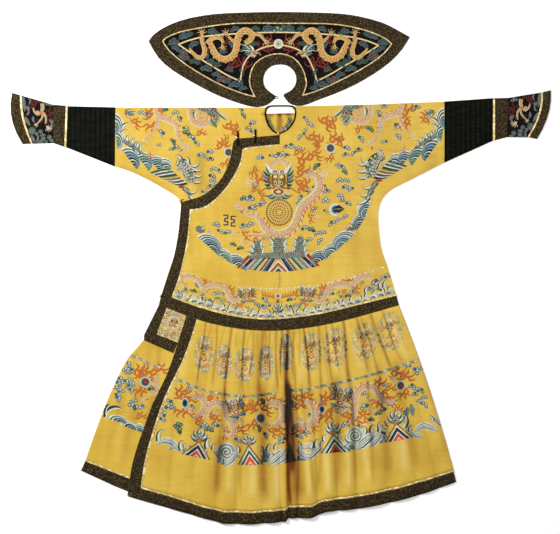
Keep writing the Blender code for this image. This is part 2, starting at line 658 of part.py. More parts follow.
def make_robe():
    neck = smooth(NECK_RING + NECK_RING[:1])
    neck_gap = beside(neck, NECK_CORD + SEAM)
    if abs(signed_area(neck_gap)) < abs(signed_area(neck)):
        neck_gap = beside(neck, -NECK_CORD - SEAM)
    flap_outer, flap_inner = smooth(FLAP_OUTER), smooth(FLAP_INNER)
    side_outer, side_inner = smooth(SIDE_OUTER), smooth(SIDE_INNER)
    waist_top, waist_mid, waist_low = smooth(WAIST_TOP), smooth(WAIST_MID), smooth(WAIST_LOW)
    underarm_left, underarm_right = smooth(UNDERARM_LEFT), smooth(UNDERARM_RIGHT)
    hip_left = [Vector(p) for p in HIP_LEFT]
    skirt_outer, skirt_inner = smooth(SKIRT_SIDE_OUTER), smooth(SKIRT_SIDE_INNER)
    hem_top, hem_low = [Vector(p) for p in HEM_TOP], [Vector(p) for p in HEM_LOW]
    centre = line_x(CENTRE_X)

    # The two halves, each folded at the shoulder
    for name, shoulder, underarm, sense, front_z in (
        ("body_left_half", SHOULDER_LEFT, underarm_left, 1, FRONT_Z),
        ("body_right_half", SHOULDER_RIGHT, underarm_right, -1, UNDER_Z),
    ):
        neck_side = [
            p for p in neck_gap
            if sense * (p.x - CENTRE_X) > CORNER_GAP and p.y < shoulder[0].y - SHOULDER_GAP
        ]
        neck_side.sort(key=lambda p: p.y)
        fold = smooth(shoulder)
        fold[0] = Vector((neck_side[-1].x, fold[0].y))
        if sense > 0:
            waist = between(waist_top, centre, line_x(waist_top[-1].x))[::-1]
            front_side = back_side = underarm[:-1]
        else:
            waist = between(waist_top, line_x(waist_top[0].x), centre)
            back_side = [p for p in underarm + side_outer[1:] if p.y > waist[0].y + CORNER_GAP]
            front_side = [Vector((p.x + UNDERLAP_INSET, p.y)) for p in back_side]
            front_side[0] = back_side[0]
        neck_low = Vector((CENTRE_X, min(p.y for p in neck_gap)))
        front_rest = front_side + waist + [neck_low] + neck_side
        back_neck = [Vector((CENTRE_X, BACK_NECK_Y)), Vector((fold[0].x - sense * CORNER_GAP, BACK_NECK_Y))]
        folded_piece(name, fold, front_rest, back_side + waist + back_neck, front_z, "yellow_silk")

    # The flap, its borders and its piping
    flap_edge = flap_inner + side_inner[1:]
    flap_piped = beside(flap_edge, PIPING)
    flat_piece("outer_flap",
               between(flap_piped, centre, waist_top) + between(waist_top, flap_piped, centre)[1:],
               FRONT_Z, "yellow_silk")
    flat_piece("flap_piping",
               between(flap_edge, centre, waist_mid)
               + between(flap_piped, centre, beside(waist_mid, PIPING))[::-1],
               FRONT_Z, "gold_piping")
    flat_piece("flap_border",
               between(flap_outer, centre, line_x(flap_outer[-1].x + END_NUDGE))
               + between(flap_inner, centre, line_x(flap_inner[-1].x + END_NUDGE))[::-1],
               FRONT_Z, "brocade")
    flat_piece("side_border", side_outer + side_inner[::-1], FRONT_Z, "brocade")

    # The waist, front and back
    waist_piped = beside(waist_mid, PIPING)
    flat_piece("waist_panel_front",
               between(waist_top, flap_piped, line_x(waist_top[-1].x - END_NUDGE))
               + between(waist_piped, flap_piped, hip_left)[::-1]
               + between(flap_piped, waist_top, waist_piped)[::-1][1:-1],
               FRONT_Z, "yellow_silk")
    flat_piece("waist_piping",
               between(waist_piped, flap_piped, hip_left)
               + between(waist_mid, flap_piped, hip_left)[::-1],
               FRONT_Z, "gold_piping")
    side_foot = [side_outer[-1], side_inner[-1]]
    flat_piece("waist_border_front",
               side_foot + between(waist_mid, line_x(side_inner[-1].x + END_NUDGE), hip_left)
               + waist_low[::-1],
               FRONT_Z, "brocade")
    flat_piece("waist_panel_back",
               waist_top + between(waist_mid, line_x(waist_mid[0].x + END_NUDGE), hip_left)[::-1],
               BACK_Z, "yellow_silk")
    flat_piece("waist_border_back", waist_mid + waist_low[::-1], BACK_Z, "brocade")

    # The square tab, on the back apron's fold
    ren_outer, ren_inner = [Vector(p) for p in REN_OUTER], [Vector(p) for p in REN_INNER]
    tab_side = line_x(ren_inner[0].x)
    border_top = between(waist_low, line_x(ren_outer[0].x + 3 * END_NUDGE), tab_side)
    panel_top = between(waist_low, tab_side, skirt_outer[:2])
    flat_piece("ren_border", ren_outer + ren_inner[:0:-1] + border_top[::-1], FRONT_Z, "brocade")
    panel_side = [p for p in skirt_outer[1:] if p.y > ren_inner[-1].y + CORNER_GAP]
    flat_piece("ren_panel", ren_inner[1:] + panel_side[::-1] + panel_top[::-1], FRONT_Z, "yellow_silk")

    # The front apron and its free edge
    skirt_piped = beside(skirt_inner, PIPING)
    side_seam = make_apron(waist_low, hem_top, hem_low, skirt_piped)
    flat_piece("skirt_side_border", skirt_outer + skirt_inner[::-1], FRONT_Z, "brocade")
    piping_foot = [Vector((p.x, p.y + PIPING)) for p in hem_top]
    flat_piece("skirt_side_piping",
               between(skirt_inner, waist_low, piping_foot) + side_seam[::-1], FRONT_Z, "gold_piping")

    # The back apron, folded round the wearer's right side
    back_hem_top, back_hem_low = smooth(BACK_HEM_TOP), smooth(BACK_HEM_LOW)
    back_piped = beside(back_hem_top, PIPING)
    back_fold = between(smooth(BACK_FOLD), waist_low, back_piped)
    back_right = smooth(BACK_RIGHT)
    tucked = beside(skirt_outer, TUCK_UNDER)
    hem_start = line_x(back_hem_top[0].x + END_NUDGE)
    folded_piece("skirt_back", back_fold,
                 between(back_piped, back_fold, tucked)[1:]
                 + between(tucked, waist_low, back_piped)[::-1][1:-1]
                 + between(waist_low, back_fold, tucked)[::-1][:-1],
                 back_piped[1:] + back_right[:0:-1] + between(waist_low, back_fold, back_right)[::-1][:-1],
                 UNDER_Z, "yellow_silk")
    for name, upper, lower, finish in (
        ("skirt_back_piping", back_piped, back_hem_top, "gold_piping"),
        ("skirt_back_border", back_hem_top, back_hem_low, "brocade"),
    ):
        folded_piece(name, [upper[0], lower[0]],
                     between(lower, hem_start, tucked)[1:] + between(upper, hem_start, tucked)[::-1][:-1],
                     lower[1:] + upper[:0:-1], UNDER_Z, finish)

    # Neck
    ring_z = BACK_Z + CLOTH / 2 + SEAM + NECK_CORD
    cord_piece("neck_binding", [(p.x, p.y, ring_z) for p in neck[:-1]], NECK_CORD, "black_cord", closed=True)
    facing_top = BACK_NECK_Y - SEAM
    facing_low = facing_top - FACING_DEPTH
    facing_left = [p for p in neck if p.x < 0 and facing_low <= p.y <= facing_top - 0.003]
    facing_right = [p for p in neck if p.x > 0 and facing_low <= p.y <= facing_top - 0.003]
    clear = NECK_CORD + SEAM
    flat_piece("neck_facing",
               [Vector((p.x + clear, p.y)) for p in sorted(facing_left, key=lambda p: p.y)]
               + [Vector((-0.036, facing_top)), Vector((0.036, facing_top))]
               + [Vector((p.x - clear, p.y)) for p in sorted(facing_right, key=lambda p: -p.y)],
               BACK_Z + CLOTH + SEAM, "white_silk")


def make_sleeve(side, seams, front_z):
    sleeve_piece(f"sleeve_band_{side}", seams["body"], seams["band"], front_z, "ribbed_silk", RIBS)
    for name, start, end, finish in (
        ("sleeve_piping", "band", "piping", "gold_piping"),
        ("cuff_band", "piping", "cuff_band", "brocade"),
        ("cuff", "cuff_band", "cuff", "black_satin"),
        ("cuff_piping", "cuff", "cuff_piping", "gold_piping"),
        ("cuff_border", "cuff_piping", "edge", "brocade"),
    ):
        sleeve_piece(f"{name}_{side}", seams[start], seams[end], front_z, finish)


def make_collar():
    middle_z = COLLAR_CLOTH / 2
    outer = smooth(COLLAR_TOP) + smooth(COLLAR_LOW_LEFT)[1:] + smooth(COLLAR_HOLE)[1:]
    outer += smooth(COLLAR_LOW_RIGHT)[1:-1]
    panel_seam = smooth(PANEL_TOP) + smooth(PANEL_LOW_LEFT)[1:] + smooth(PANEL_HOLE)[1:]
    panel_seam += smooth(PANEL_LOW_RIGHT)[1:-1]
    panel = inset(panel_seam, PIPING)
    ring_piece("collar_border", outer, panel_seam, middle_z, "brocade", COLLAR_CLOTH)
    ring_piece("collar_piping", panel_seam, panel, middle_z, "gold_piping", COLLAR_CLOTH)
    flat_piece("collar_panel", panel, middle_z, "black_satin", COLLAR_CLOTH)


clear_scene()
ROBE = bpy.data.collections.new("court_robe")
bpy.context.scene.collection.children.link(ROBE)
make_robe()
make_sleeve("left", LEFT_SLEEVE, FRONT_Z)
make_sleeve("right", RIGHT_SLEEVE, UNDER_Z)
make_collar()
for button in BUTTONS:
    ball_piece(button)
for cord in CORDS:
    cord_piece(cord.name, cord.points, cord.radius, "black_cord")
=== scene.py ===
import math
from collections import namedtuple

import bmesh
import bpy
import numpy as np
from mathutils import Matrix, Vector
from mathutils.bvhtree import BVHTree


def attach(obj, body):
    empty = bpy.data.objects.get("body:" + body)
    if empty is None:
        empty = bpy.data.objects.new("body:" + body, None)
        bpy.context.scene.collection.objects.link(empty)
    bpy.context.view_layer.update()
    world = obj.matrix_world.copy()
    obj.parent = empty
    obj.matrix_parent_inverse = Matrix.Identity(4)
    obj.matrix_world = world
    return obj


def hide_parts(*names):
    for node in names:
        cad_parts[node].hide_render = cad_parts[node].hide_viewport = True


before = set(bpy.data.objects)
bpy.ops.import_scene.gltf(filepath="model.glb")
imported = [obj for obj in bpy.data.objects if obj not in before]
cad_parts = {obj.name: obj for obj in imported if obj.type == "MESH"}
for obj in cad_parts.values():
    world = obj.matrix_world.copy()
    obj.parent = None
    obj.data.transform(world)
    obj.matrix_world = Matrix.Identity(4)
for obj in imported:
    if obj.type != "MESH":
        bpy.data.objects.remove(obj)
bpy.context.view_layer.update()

RNG = np.random.default_rng(1644)

# The chart: 1 unit is 3.5 mm, u runs to the wearer's left and v from the collar down to the hem
UNIT = 0.0035
CHART_U, CHART_V = 280.65, 268.0  # the chart's place of x = 0, y = 0
PHOTO_WIDTH = 560                 # in units, as a unit is one pixel of the photo
PHOTO_MIDDLE = (280, 267)

# Sizes in metres
MM = 0.001
CELL = 0.009        # pitch of the cloth's grid
PIPE_CELL = 0.006   # and of the pipings'
WALL = 0.001        # thickness of the cloth
FRONT_TOP = 0.0037  # top of the front layer of cloth
BACK_TOP = 0.001    # top of the back layer
SEAM_GAP = 0.0003
WELD = 1e-5         # points nearer than this are one

# The masks of a colour ramp
OFF, ON = (0, 0, 0, 1), (1, 1, 1, 1)


def at(u, v):
    """The place in metres of a point of the chart."""
    return ((u - CHART_U) * UNIT, (CHART_V - v) * UNIT)


# Folds pressed into the cloth: from, to, how wide and how high in mm
Fold = namedtuple("Fold", "u0 v0 u1 v1 width height")
FOLDS = [Fold(*row) for row in (
    (286, 120, 290, 236, 13, 1.0), (262, 165, 258, 262, 16, 0.9), (230, 175, 236, 268, 14, 0.8),
    (215, 190, 205, 285, 15, 1.1), (318, 118, 330, 215, 16, 1.0), (348, 130, 352, 236, 13, 0.8),
    (372, 186, 350, 256, 18, 1.6), (380, 178, 330, 250, 12, 1.1), (186, 196, 214, 262, 14, 1.2),
    (372, 120, 402, 162, 16, 1.0), (400, 112, 436, 150, 18, 1.0), (360, 112, 384, 170, 14, 0.9),
    (160, 112, 128, 152, 18, 1.0), (190, 116, 160, 166, 16, 1.0), (215, 124, 188, 180, 14, 0.9),
    (300, 262, 302, 310, 14, 0.8), (340, 255, 346, 300, 15, 0.9), (240, 266, 238, 312, 13, 0.8),
    (205, 250, 196, 300, 12, 0.9), (370, 245, 376, 292, 13, 1.1), (160, 352, 140, 440, 12, 2.0),
    (146, 350, 116, 452, 13, 2.2), (168, 372, 152, 450, 10, 1.4),
)]
FOLD_BEND = 0.006  # how far a fold strays from its straight line


def pressed(x, y):
    """How high the folds raise the front layer of cloth at each point."""
    rise = np.zeros_like(x)
    for fold in FOLDS:
        (x0, y0), (x1, y1) = at(fold.u0, fold.v0), at(fold.u1, fold.v1)
        length = math.hypot(x1 - x0, y1 - y0)
        way = ((x1 - x0) / length, (y1 - y0) / length)
        along = ((x - x0) * way[0] + (y - y0) * way[1]) / length
        bend = FOLD_BEND * np.sin(along * 4.0 + fold.u0)
        across = (x - x0) * -way[1] + (y - y0) * way[0] + bend
        ends = np.clip(along * 4, 0, 1) * np.clip((1 - along) * 4, 0, 1)
        ends = ends * ends * (3 - 2 * ends)
        rise += fold.height * MM * ends * np.exp(-((across / (fold.width * MM)) ** 2))
    return rise


# Meshes


def add_object(name, data):
    item = bpy.data.objects.new(name, data)
    bpy.context.scene.collection.objects.link(item)
    return item


def put_mesh(name, points, faces):
    mesh = bpy.data.meshes.new(name)
    mesh.from_pydata([tuple(p) for p in points], [], [tuple(f) for f in faces])
    mesh.update()
    mesh.shade_smooth()
    return add_object(name, mesh)


def set_coords(mesh, co):
    mesh.vertices.foreach_set("co", co.astype(np.float32).ravel())
    mesh.update()


def coords(mesh):
    """The mesh's points as an array."""
    found = np.empty(len(mesh.vertices) * 3, np.float32)
    mesh.vertices.foreach_get("co", found)
    return found.reshape(-1, 3).astype(float)


def cut_up(maker, axis, pitch):
    """Cuts every face along lines at an even pitch across one axis."""
    places = [v.co[axis] for v in maker.verts]
    normal = Vector((0, 0, 0))
    normal[axis] = 1.0
    for k in range(math.ceil(min(places) / pitch), math.floor(max(places) / pitch) + 1):
        geometry = maker.verts[:] + maker.edges[:] + maker.faces[:]
        bmesh.ops.bisect_plane(maker, geom=geometry, dist=1e-6, plane_co=normal * k * pitch,
                               plane_no=normal)


FLAT_ANGLE = math.radians(0.4)  # faces that meet at less than this become one before they are cut up
SHARP_ANGLE = math.radians(40)


def refined(node, pitch):
    """A finer copy of a CAD cloth with the folds pressed into it."""
    maker = bmesh.new()
    maker.from_mesh(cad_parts[node].data)
    bmesh.ops.remove_doubles(maker, verts=maker.verts, dist=WELD)
    bmesh.ops.dissolve_limit(maker, angle_limit=FLAT_ANGLE, verts=maker.verts, edges=maker.edges)
    for axis in (0, 1):
        cut_up(maker, axis, pitch)
    bmesh.ops.triangulate(maker, faces=[f for f in maker.faces if len(f.verts) > 4])
    mesh = bpy.data.meshes.new("cloth_" + node)
    maker.to_mesh(mesh)
    maker.free()
    item = add_object("cloth_" + node, mesh)
    co = coords(mesh)
    layer = np.clip((co[:, 2] - BACK_TOP) / (FRONT_TOP - WALL - BACK_TOP), 0, 1)
    co[:, 2] += layer * pressed(co[:, 0], co[:, 1])
    set_coords(mesh, co)
    mesh.shade_smooth()
    mesh.set_sharp_from_angle(angle=SHARP_ANGLE)
    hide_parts(node)
    return item


# The pleated apron: where each pleat lies at the waist, the knee, the hem's seam and its edge, and how high
# the cloth stands between it and the next
Pleat = namedtuple("Pleat", "waist_x knee_x hem_x edge_x crest")
PLEATS = [Pleat(*row) for row in (
    (-0.2885, -0.3690, -0.4847, -0.5352, 0.0012), (-0.265, -0.307, -0.394, -0.401, 0.0020),
    (-0.223, -0.261, -0.310, -0.314, 0.0036), (-0.174, -0.195, -0.226, -0.225, 0.0075),
    (-0.125, -0.139, -0.156, -0.156, 0.0060), (-0.072, -0.079, -0.055, -0.055, 0.0095),
    (-0.023, -0.009, 0.003, 0.003, 0.0080), (0.010, 0.019, 0.027, 0.027, 0.0085),
    (0.040, 0.057, 0.061, 0.061, 0.0105), (0.082, 0.110, 0.131, 0.132, 0.0090),
    (0.145, 0.173, 0.201, 0.202, 0.0080), (0.225, 0.250, 0.267, 0.269, 0.0085),
    (0.271, 0.327, 0.379, 0.383, 0.0070), (0.320, 0.390, 0.481, 0.488, 0.0050),
    (0.365, 0.442, 0.544, 0.553, 0.0028), (0.4135, 0.4895, 0.605, 0.614, 0.0),
)]
# How deep a small extra tuck is in the middle of each pleat at the waist
TUCKS = [0.0, 0.0, 0.3, 0.0, 0.6, 0.5, 0.4, 0.2, 0.6, 0.7, 0.6, 0.3, 0.2, 0.3, 0.0]
KNEE = 0.35         # the share of the way down at which the pleats' knee_x is given
PLEAT_STEPS = 14    # columns of cloth from one pleat to the next
SKIRT_STEPS = 64    # rows of cloth from the waist seam to the hem's seam
HEM_STEPS = 5       # rows across the hem's border, and across its piping
FRONT_MID = 0.0032  # height of the middle of the front layer of cloth
PIPING = 0.004      # width of the piping
PLUMP = 0.0014      # how far the round piping swells over the cloth on each side of its seam
PLUMP_RISE = 0.0008
HEM_PIPE_RISE, HEM_PIPE_ROUND = 0.0011, 0.0005  # how far the hem's piping stands over it, and how round
WAVER = 0.0012      # how far the pleats stray to the side


def pleat_x(share):
    """The x of every pleat at a share of the way from the waist seam to the hem's seam."""
    at_waist = (share - KNEE) * (share - 1) / KNEE
    at_knee = share * (share - 1) / (KNEE * (KNEE - 1))
    at_hem = share * (share - KNEE) / (1 - KNEE)
    return np.array([p.waist_x * at_waist + p.knee_x * at_knee + p.hem_x * at_hem for p in PLEATS])


# The apron's seams: at the waist, on its free edge, and the top and the edge of its hem border
WAIST_SEAM = [
    (-0.330, -0.167), (-0.247, -0.193), (-0.142, -0.213), (-0.050, -0.219), (0.033, -0.216),
    (0.138, -0.202), (0.257, -0.175), (0.414, -0.130),
]
HEM_SEAM = [
    (-0.489, -0.770), (-0.394, -0.796), (-0.272, -0.835), (-0.198, -0.852), (-0.100, -0.855),
    (0.019, -0.845), (0.027, -0.835), (0.110, -0.833), (0.148, -0.814), (0.277, -0.797), (0.405, -0.770),
    (0.503, -0.743), (0.605, -0.711),
]
HEM_EDGE = [
    (-0.536, -0.798), (-0.394, -0.839), (-0.272, -0.874), (-0.202, -0.893), (-0.100, -0.896),
    (0.019, -0.886), (0.027, -0.874), (0.110, -0.873), (0.159, -0.852), (0.277, -0.841), (0.405, -0.815),
    (0.503, -0.788), (0.614, -0.748),
]
FREE_EDGE = [
    (-0.2891, -0.1815), (-0.3112, -0.2517), (-0.3486, -0.3453), (-0.4093, -0.4741), (-0.4567, -0.6204),
    (-0.4844, -0.7667),
]
HEM_START_X = -0.488  # where the hem's seam begins at the free edge


def smooth(points, steps=2, closed=False):
    """A Catmull-Rom curve through the points, as an array."""
    given = np.asarray(points, float)
    if closed:
        given = np.vstack([given[-1:], given, given[:2]])
    else:
        given = np.vstack([given[:1], given, given[-1:]])
    t = (np.arange(steps) / steps)[:, None]
    runs = []
    for p0, p1, p2, p3 in zip(given, given[1:], given[2:], given[3:]):
        runs.append(0.5 * (2 * p1 + (p2 - p0) * t + (2 * p0 - 5 * p1 + 4 * p2 - p3) * t**2
                           + (3 * p1 - p0 - 3 * p2 + p3) * t**3))
    curve = np.vstack(runs)
    return curve if closed else np.vstack([curve, given[-1:]])


def pleat_columns(places):
    """The x of each column of cloth, from the x of every pleat."""
    shares = np.arange(PLEAT_STEPS) / PLEAT_STEPS
    xs = (places[:-1, None] + np.diff(places)[:, None] * shares).ravel()
    return np.append(xs, places[-1])


def standing(down):
    """How high each column of the apron stands, at a share of the way down it."""
    shares = np.arange(PLEAT_STEPS) / PLEAT_STEPS
    power = 0.42 + 0.38 * down
    profile = np.sin(math.pi * shares) ** power
    groove = np.exp(-(((shares - 0.5) / 0.08) ** 2))
    rise = []
    for pleat, tuck in zip(PLEATS, TUCKS):
        held = tuck * max(0.0, 1 - down / 0.55)
        rise.append(pleat.crest * profile * (1 - held * groove))
    grown = 0.45 + 0.85 * down**0.6
    return np.append(np.concatenate(rise) * grown, 0.0)


# Where shade is painted on the cloth's colour, or light where the value is negative: from, to, half its
# width in units, and how dark it is painted there, or how light where that is negative
Shade = namedtuple("Shade", "u0 v0 u1 v1 width dark")
SHADES = [Shade(*row) for row in (
    (205, 324, 197, 388, 1.1, 0.6), (217, 326, 213, 390, 1.0, 0.55), (231, 328, 224, 404, 1.3, 0.75),
    (245, 329, 241, 396, 1.0, 0.6), (254, 330, 250, 378, 0.9, 0.45), (262, 330, 259, 400, 2.4, 0.6),
    (270, 330, 269, 378, 0.9, 0.5), (276, 330, 277.6, 396, 1.0, 0.7), (281, 330, 281, 378, 1.2, 0.6),
    (287, 329, 286.4, 398, 1.8, 0.85), (293, 329, 293, 378, 1.0, 0.6), (299, 328, 300, 368, 0.9, 0.45),
    (304, 327, 310, 392, 1.0, 0.75), (318, 326, 322, 390, 1.1, 0.6), (325, 325, 333, 388, 1.2, 0.6),
    (331, 324, 340, 374, 0.9, 0.45), (343, 322, 349, 383, 1.4, 0.8), (356, 319, 370, 376, 1.3, 0.6),
    (361, 318, 380, 376, 1.0, 0.5), (371, 316, 392, 373, 1.7, 0.6), (382, 313, 403, 366, 1.0, 0.45),
    (279, 270, 279.4, 292, 0.8, 0.5), (200.6, 158, 200, 198, 4.5, 0.3), (279, 104, 279.4, 136, 11, 0.3),
    (279, 106, 279.4, 134, 2.6, 0.5), (270, 110, 268.6, 128, 2.0, 0.4), (289, 110, 290.4, 128, 2.0, 0.45),
    (275, 112, 275, 128, 1.4, -0.5), (284, 112, 284.6, 128, 1.4, -0.5),
    (264.4, 114.2, 295, 113.6, 1.6, 0.9), (263, 133, 240, 262, 5, 0.1), (186, 200, 193, 262, 4, 0.16),
    (352, 235, 360, 292, 5, 0.12), (384, 166, 342, 250, 5, 0.12), (390, 150, 440, 158, 4, 0.14),
    (122, 168, 180, 196, 3.4, 0.2), (386, 196, 440, 162, 3.4, 0.2), (149, 352, 122, 470, 4.0, 0.22),
    (136, 352, 104, 466, 3.0, 0.18), (160, 345, 146, 440, 3.0, 0.3), (224, 396, 216, 500, 3.6, 0.44),
    (262, 394, 265, 506, 5.0, 0.72), (286.6, 358, 288.2, 450, 1.8, 0.42),
    (287.4, 386, 288.6, 462, 2.5, 0.95), (290.6, 392, 292.6, 476, 2.2, 0.7),
    (288.4, 456, 290, 510, 2.6, 0.95), (222, 440, 218, 496, 8.0, 0.26), (290, 396, 298, 508, 6.5, 0.72),
    (336, 384, 338, 494, 4.4, 0.5), (349, 378, 357, 490, 2.0, 0.42), (379, 372, 390, 484, 4.4, 0.48),
    (396, 368, 418, 474, 4.6, 0.36), (322, 386, 318, 496, 2.0, 0.36), (243, 396, 240, 500, 1.8, 0.4),
    (302, 390, 314, 498, 1.6, 0.3), (367, 376, 374, 486, 1.8, 0.34), (198, 384, 190, 482, 4.0, 0.16),
    (182, 330, 166, 500, 2.0, 0.16), (412, 330, 452, 470, 2.2, 0.2), (229, 440, 228, 496, 3.4, -0.3),
    (253, 440, 252, 500, 4.4, -0.32), (277, 440, 277, 506, 3.6, -0.4), (308, 430, 308, 500, 3.0, -0.4),
    (327, 430, 327, 496, 3.0, -0.36), (347, 430, 348, 490, 2.2, -0.3), (364, 420, 368, 484, 3.2, -0.3),
    (400, 410, 406, 474, 5.0, -0.3), (186, 340, 182, 380, 5, -0.15), (249, 334, 248, 380, 2.2, -0.2),
    (273, 334, 273, 388, 2.0, -0.3), (298, 336, 302, 388, 3.0, -0.25), (328, 330, 338, 378, 2.2, -0.2),
    (350, 330, 362, 372, 3.0, -0.2), (388, 322, 410, 362, 4.0, -0.2),
)]
# and painted shade along the fine gathers below the waist seam, which rises toward both sides
GATHER_MIDDLE, GATHER_TOP, GATHER_FOOT = 280, 331, 352
for gather in (211, 224, 238, 249.5, 258, 266, 273.5, 284, 290.4, 296, 309, 313.4, 337, 350, 366, 377):
    lift = 0.0022 * abs(gather - GATHER_MIDDLE) ** 1.9
    splayed = gather - (GATHER_MIDDLE - gather) * 0.06
    SHADES.append(Shade(gather, GATHER_TOP - lift, splayed, GATHER_FOOT - lift, 0.8, 0.28))


def gloom(u, v):
    """How much shade is painted on the yellow cloth at each point of the chart, or light where it is
    negative.
    """
    dark = np.zeros_like(u)
    for shade in SHADES:
        length = math.hypot(shade.u1 - shade.u0, shade.v1 - shade.v0)
        way = ((shade.u1 - shade.u0) / length, (shade.v1 - shade.v0) / length)
        along = ((u - shade.u0) * way[0] + (v - shade.v0) * way[1]) / length
        across = (u - shade.u0) * way[1] - (v - shade.v0) * way[0] + 0.7 * np.sin(along * 5 + shade.u0)
        ends = np.clip(along * 8 + 1, 0, 1) * np.clip((1 - along) * 6, 0, 1)
        dark += shade.dark * ends * np.exp(-((across / shade.width) ** 2))
    return dark


def sheet_of(node, rows):
    """Cloth through rows of points, with its wall, in place of a CAD node."""
    grid = np.array(rows)
    n, m = grid.shape[:2]
    faces = [(i * m + k, i * m + k + 1, (i + 1) * m + k + 1, (i + 1) * m + k)
             for i in range(n - 1) for k in range(m - 1)]
    item = put_mesh("cloth_" + node, grid.reshape(-1, 3), faces)
    wall = item.modifiers.new("wall", "SOLIDIFY")
    wall.thickness = WALL
    wall.offset = 0.0
    wall.use_even_offset = False
    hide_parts(node)
    return item


def shade_in(item):
    """Marks how much shade is painted on the cloth at each of its points."""
    places = coords(item.data)
    layer = item.data.attributes.new("gloom", "FLOAT", "POINT")
    layer.data.foreach_set("value", gloom(places[:, 0] / UNIT + CHART_U, CHART_V - places[:, 1] / UNIT))


def make_apron():
    """The pleated cloth of the apron, from its waist seam to its hem's seam."""
    waist, hem, free = smooth(WAIST_SEAM), np.array(HEM_SEAM), np.array(FREE_EDGE)
    top_x = pleat_columns(np.array([free[0, 0]] + [p.waist_x for p in PLEATS[1:]]))
    foot_x = pleat_columns(np.array([free[-1, 0]] + [p.hem_x for p in PLEATS[1:]]))
    tops = np.interp(top_x, waist[:, 0], waist[:, 1]) - SEAM_GAP
    feet = np.interp(foot_x, hem[:, 0], hem[:, 1]) + PIPING + 2 * SEAM_GAP
    rows = []
    for down in np.linspace(0, 1, SKIRT_STEPS):
        ys = tops + (feet - tops) * down
        places = pleat_x(down)
        places[0] = np.interp(-ys[0], -free[:, 1], free[:, 0])
        waver = WAVER * np.sin(down * 9 + np.arange(len(ys)) * 0.35) * down * (1 - down) * 4
        xs = pleat_columns(places)
        inner = np.minimum(1, np.minimum(np.arange(len(xs)), np.arange(len(xs))[::-1]) / 6)
        rows.append(np.stack([xs + waver * inner, ys, FRONT_MID + standing(down)], axis=1))
    apron = sheet_of("skirt_front", rows)
    shade_in(apron)
    return apron


def make_hem():
    """The border and the round piping below the pleats, standing as high as they do."""
    hem, edge = np.array(HEM_SEAM), np.array(HEM_EDGE)
    hem_x = pleat_columns(np.array([HEM_START_X] + [p.hem_x for p in PLEATS[1:]]))
    edge_x = pleat_columns(np.array([p.edge_x for p in PLEATS]))
    crest = standing(1.0)

    def run(line, xs, up):
        return np.stack([xs, np.interp(xs, line[:, 0], line[:, 1]) + up, FRONT_MID + crest], axis=1)

    upper, lower = run(hem, hem_x, -2 * SEAM_GAP), run(edge, edge_x, 0.0)
    border = sheet_of("skirt_hem_border",
                      [upper + (lower - upper) * t for t in np.linspace(0, 1, HEM_STEPS)])
    shade_in(border)
    upper, lower = run(hem, hem_x, PIPING + PLUMP), run(hem, hem_x, -PLUMP)
    piping = []
    for t in np.linspace(0, 1, HEM_STEPS):
        row = upper + (lower - upper) * t
        row[:, 2] += HEM_PIPE_RISE + HEM_PIPE_ROUND * math.sin(math.pi * t)
        piping.append(row)
    return border, sheet_of("skirt_hem_piping", piping)


# Materials


def srgb(code):
    """A linear colour from its six hexadecimal digits."""
    parts = [int(code[i : i + 2], 16) / 255 for i in (0, 2, 4)]
    return tuple(c / 12.92 if c <= 0.04045 else ((c + 0.055) / 1.055) ** 2.4 for c in parts) + (1.0,)


class Shader:
    """A material built up node by node."""

    # Blender's own places of the Mix node's colour sockets
    MIX_INPUTS, MIX_RESULT = (0, 6, 7), 2

    def __init__(self, name, rough, sheen=0.0, metallic=0.0, specular=0.5):
        self.material = bpy.data.materials.new(name)
        self.material.use_nodes = True
        self.tree = self.material.node_tree
        self.main = self.tree.nodes["Principled BSDF"]
        for key, value in (("Roughness", rough), ("Sheen Weight", sheen), ("Metallic", metallic),
                           ("Specular IOR Level", specular)):
            self.main.inputs[key].default_value = value
        self.where = self.node("ShaderNodeTexCoord").outputs["Object"]

    def node(self, kind, **values):
        """A node of a kind, with its settings and the values of its sockets by name."""
        made = self.tree.nodes.new(kind)
        for key, value in values.items():
            if hasattr(made, key):
                setattr(made, key, value)
            else:
                made.inputs[key.replace("_", " ")].default_value = value
        return made

    def link(self, output, target):
        self.tree.links.new(output, target)

    def feed(self, sources, sockets):
        """Links each source to its socket, or sets the socket where the source is a value."""
        for source, socket in zip(sources, sockets):
            if isinstance(source, bpy.types.NodeSocket):
                self.link(source, socket)
            else:
                socket.default_value = source

    def stretched(self, scale):
        made = self.node("ShaderNodeMapping")
        made.inputs["Scale"].default_value = scale
        self.link(self.where, made.inputs["Vector"])
        return made.outputs["Vector"]

    def noise(self, scale, detail, roughness=0.5, stretch=None):
        made = self.node("ShaderNodeTexNoise", Scale=scale, Detail=detail, Roughness=roughness)
        self.link(self.stretched(stretch) if stretch else self.where, made.inputs["Vector"])
        return made.outputs["Fac"]

    def bands(self, scale, direction, distortion=0.0):
        made = self.node("ShaderNodeTexWave", Scale=scale, Distortion=distortion)
        made.bands_direction = direction
        self.link(self.where, made.inputs["Vector"])
        return made.outputs["Fac"]

    def ramp(self, value, *stops):
        made = self.node("ShaderNodeValToRGB")
        band = made.color_ramp
        while len(band.elements) < len(stops):
            band.elements.new(0.5)
        for element, (place, colour) in zip(band.elements, stops):
            element.position = place
            element.color = colour
        self.link(value, made.inputs["Fac"])
        return made.outputs["Color"]

    def mix(self, share, first, second, mode="MIX"):
        made = self.node("ShaderNodeMix", data_type="RGBA", blend_type=mode)
        self.feed((share, first, second), [made.inputs[k] for k in self.MIX_INPUTS])
        return made.outputs[self.MIX_RESULT]

    def maths(self, operation, first, second):
        made = self.node("ShaderNodeMath", operation=operation)
        self.feed((first, second), made.inputs)
        return made.outputs[0]

    def colour(self, output):
        self.link(output, self.main.inputs["Base Color"])

    def bump(self, height, strength, distance):
        made = self.node("ShaderNodeBump", Strength=strength, Distance=distance)
        self.link(height, made.inputs["Height"])
        self.link(made.outputs["Normal"], self.main.inputs["Normal"])


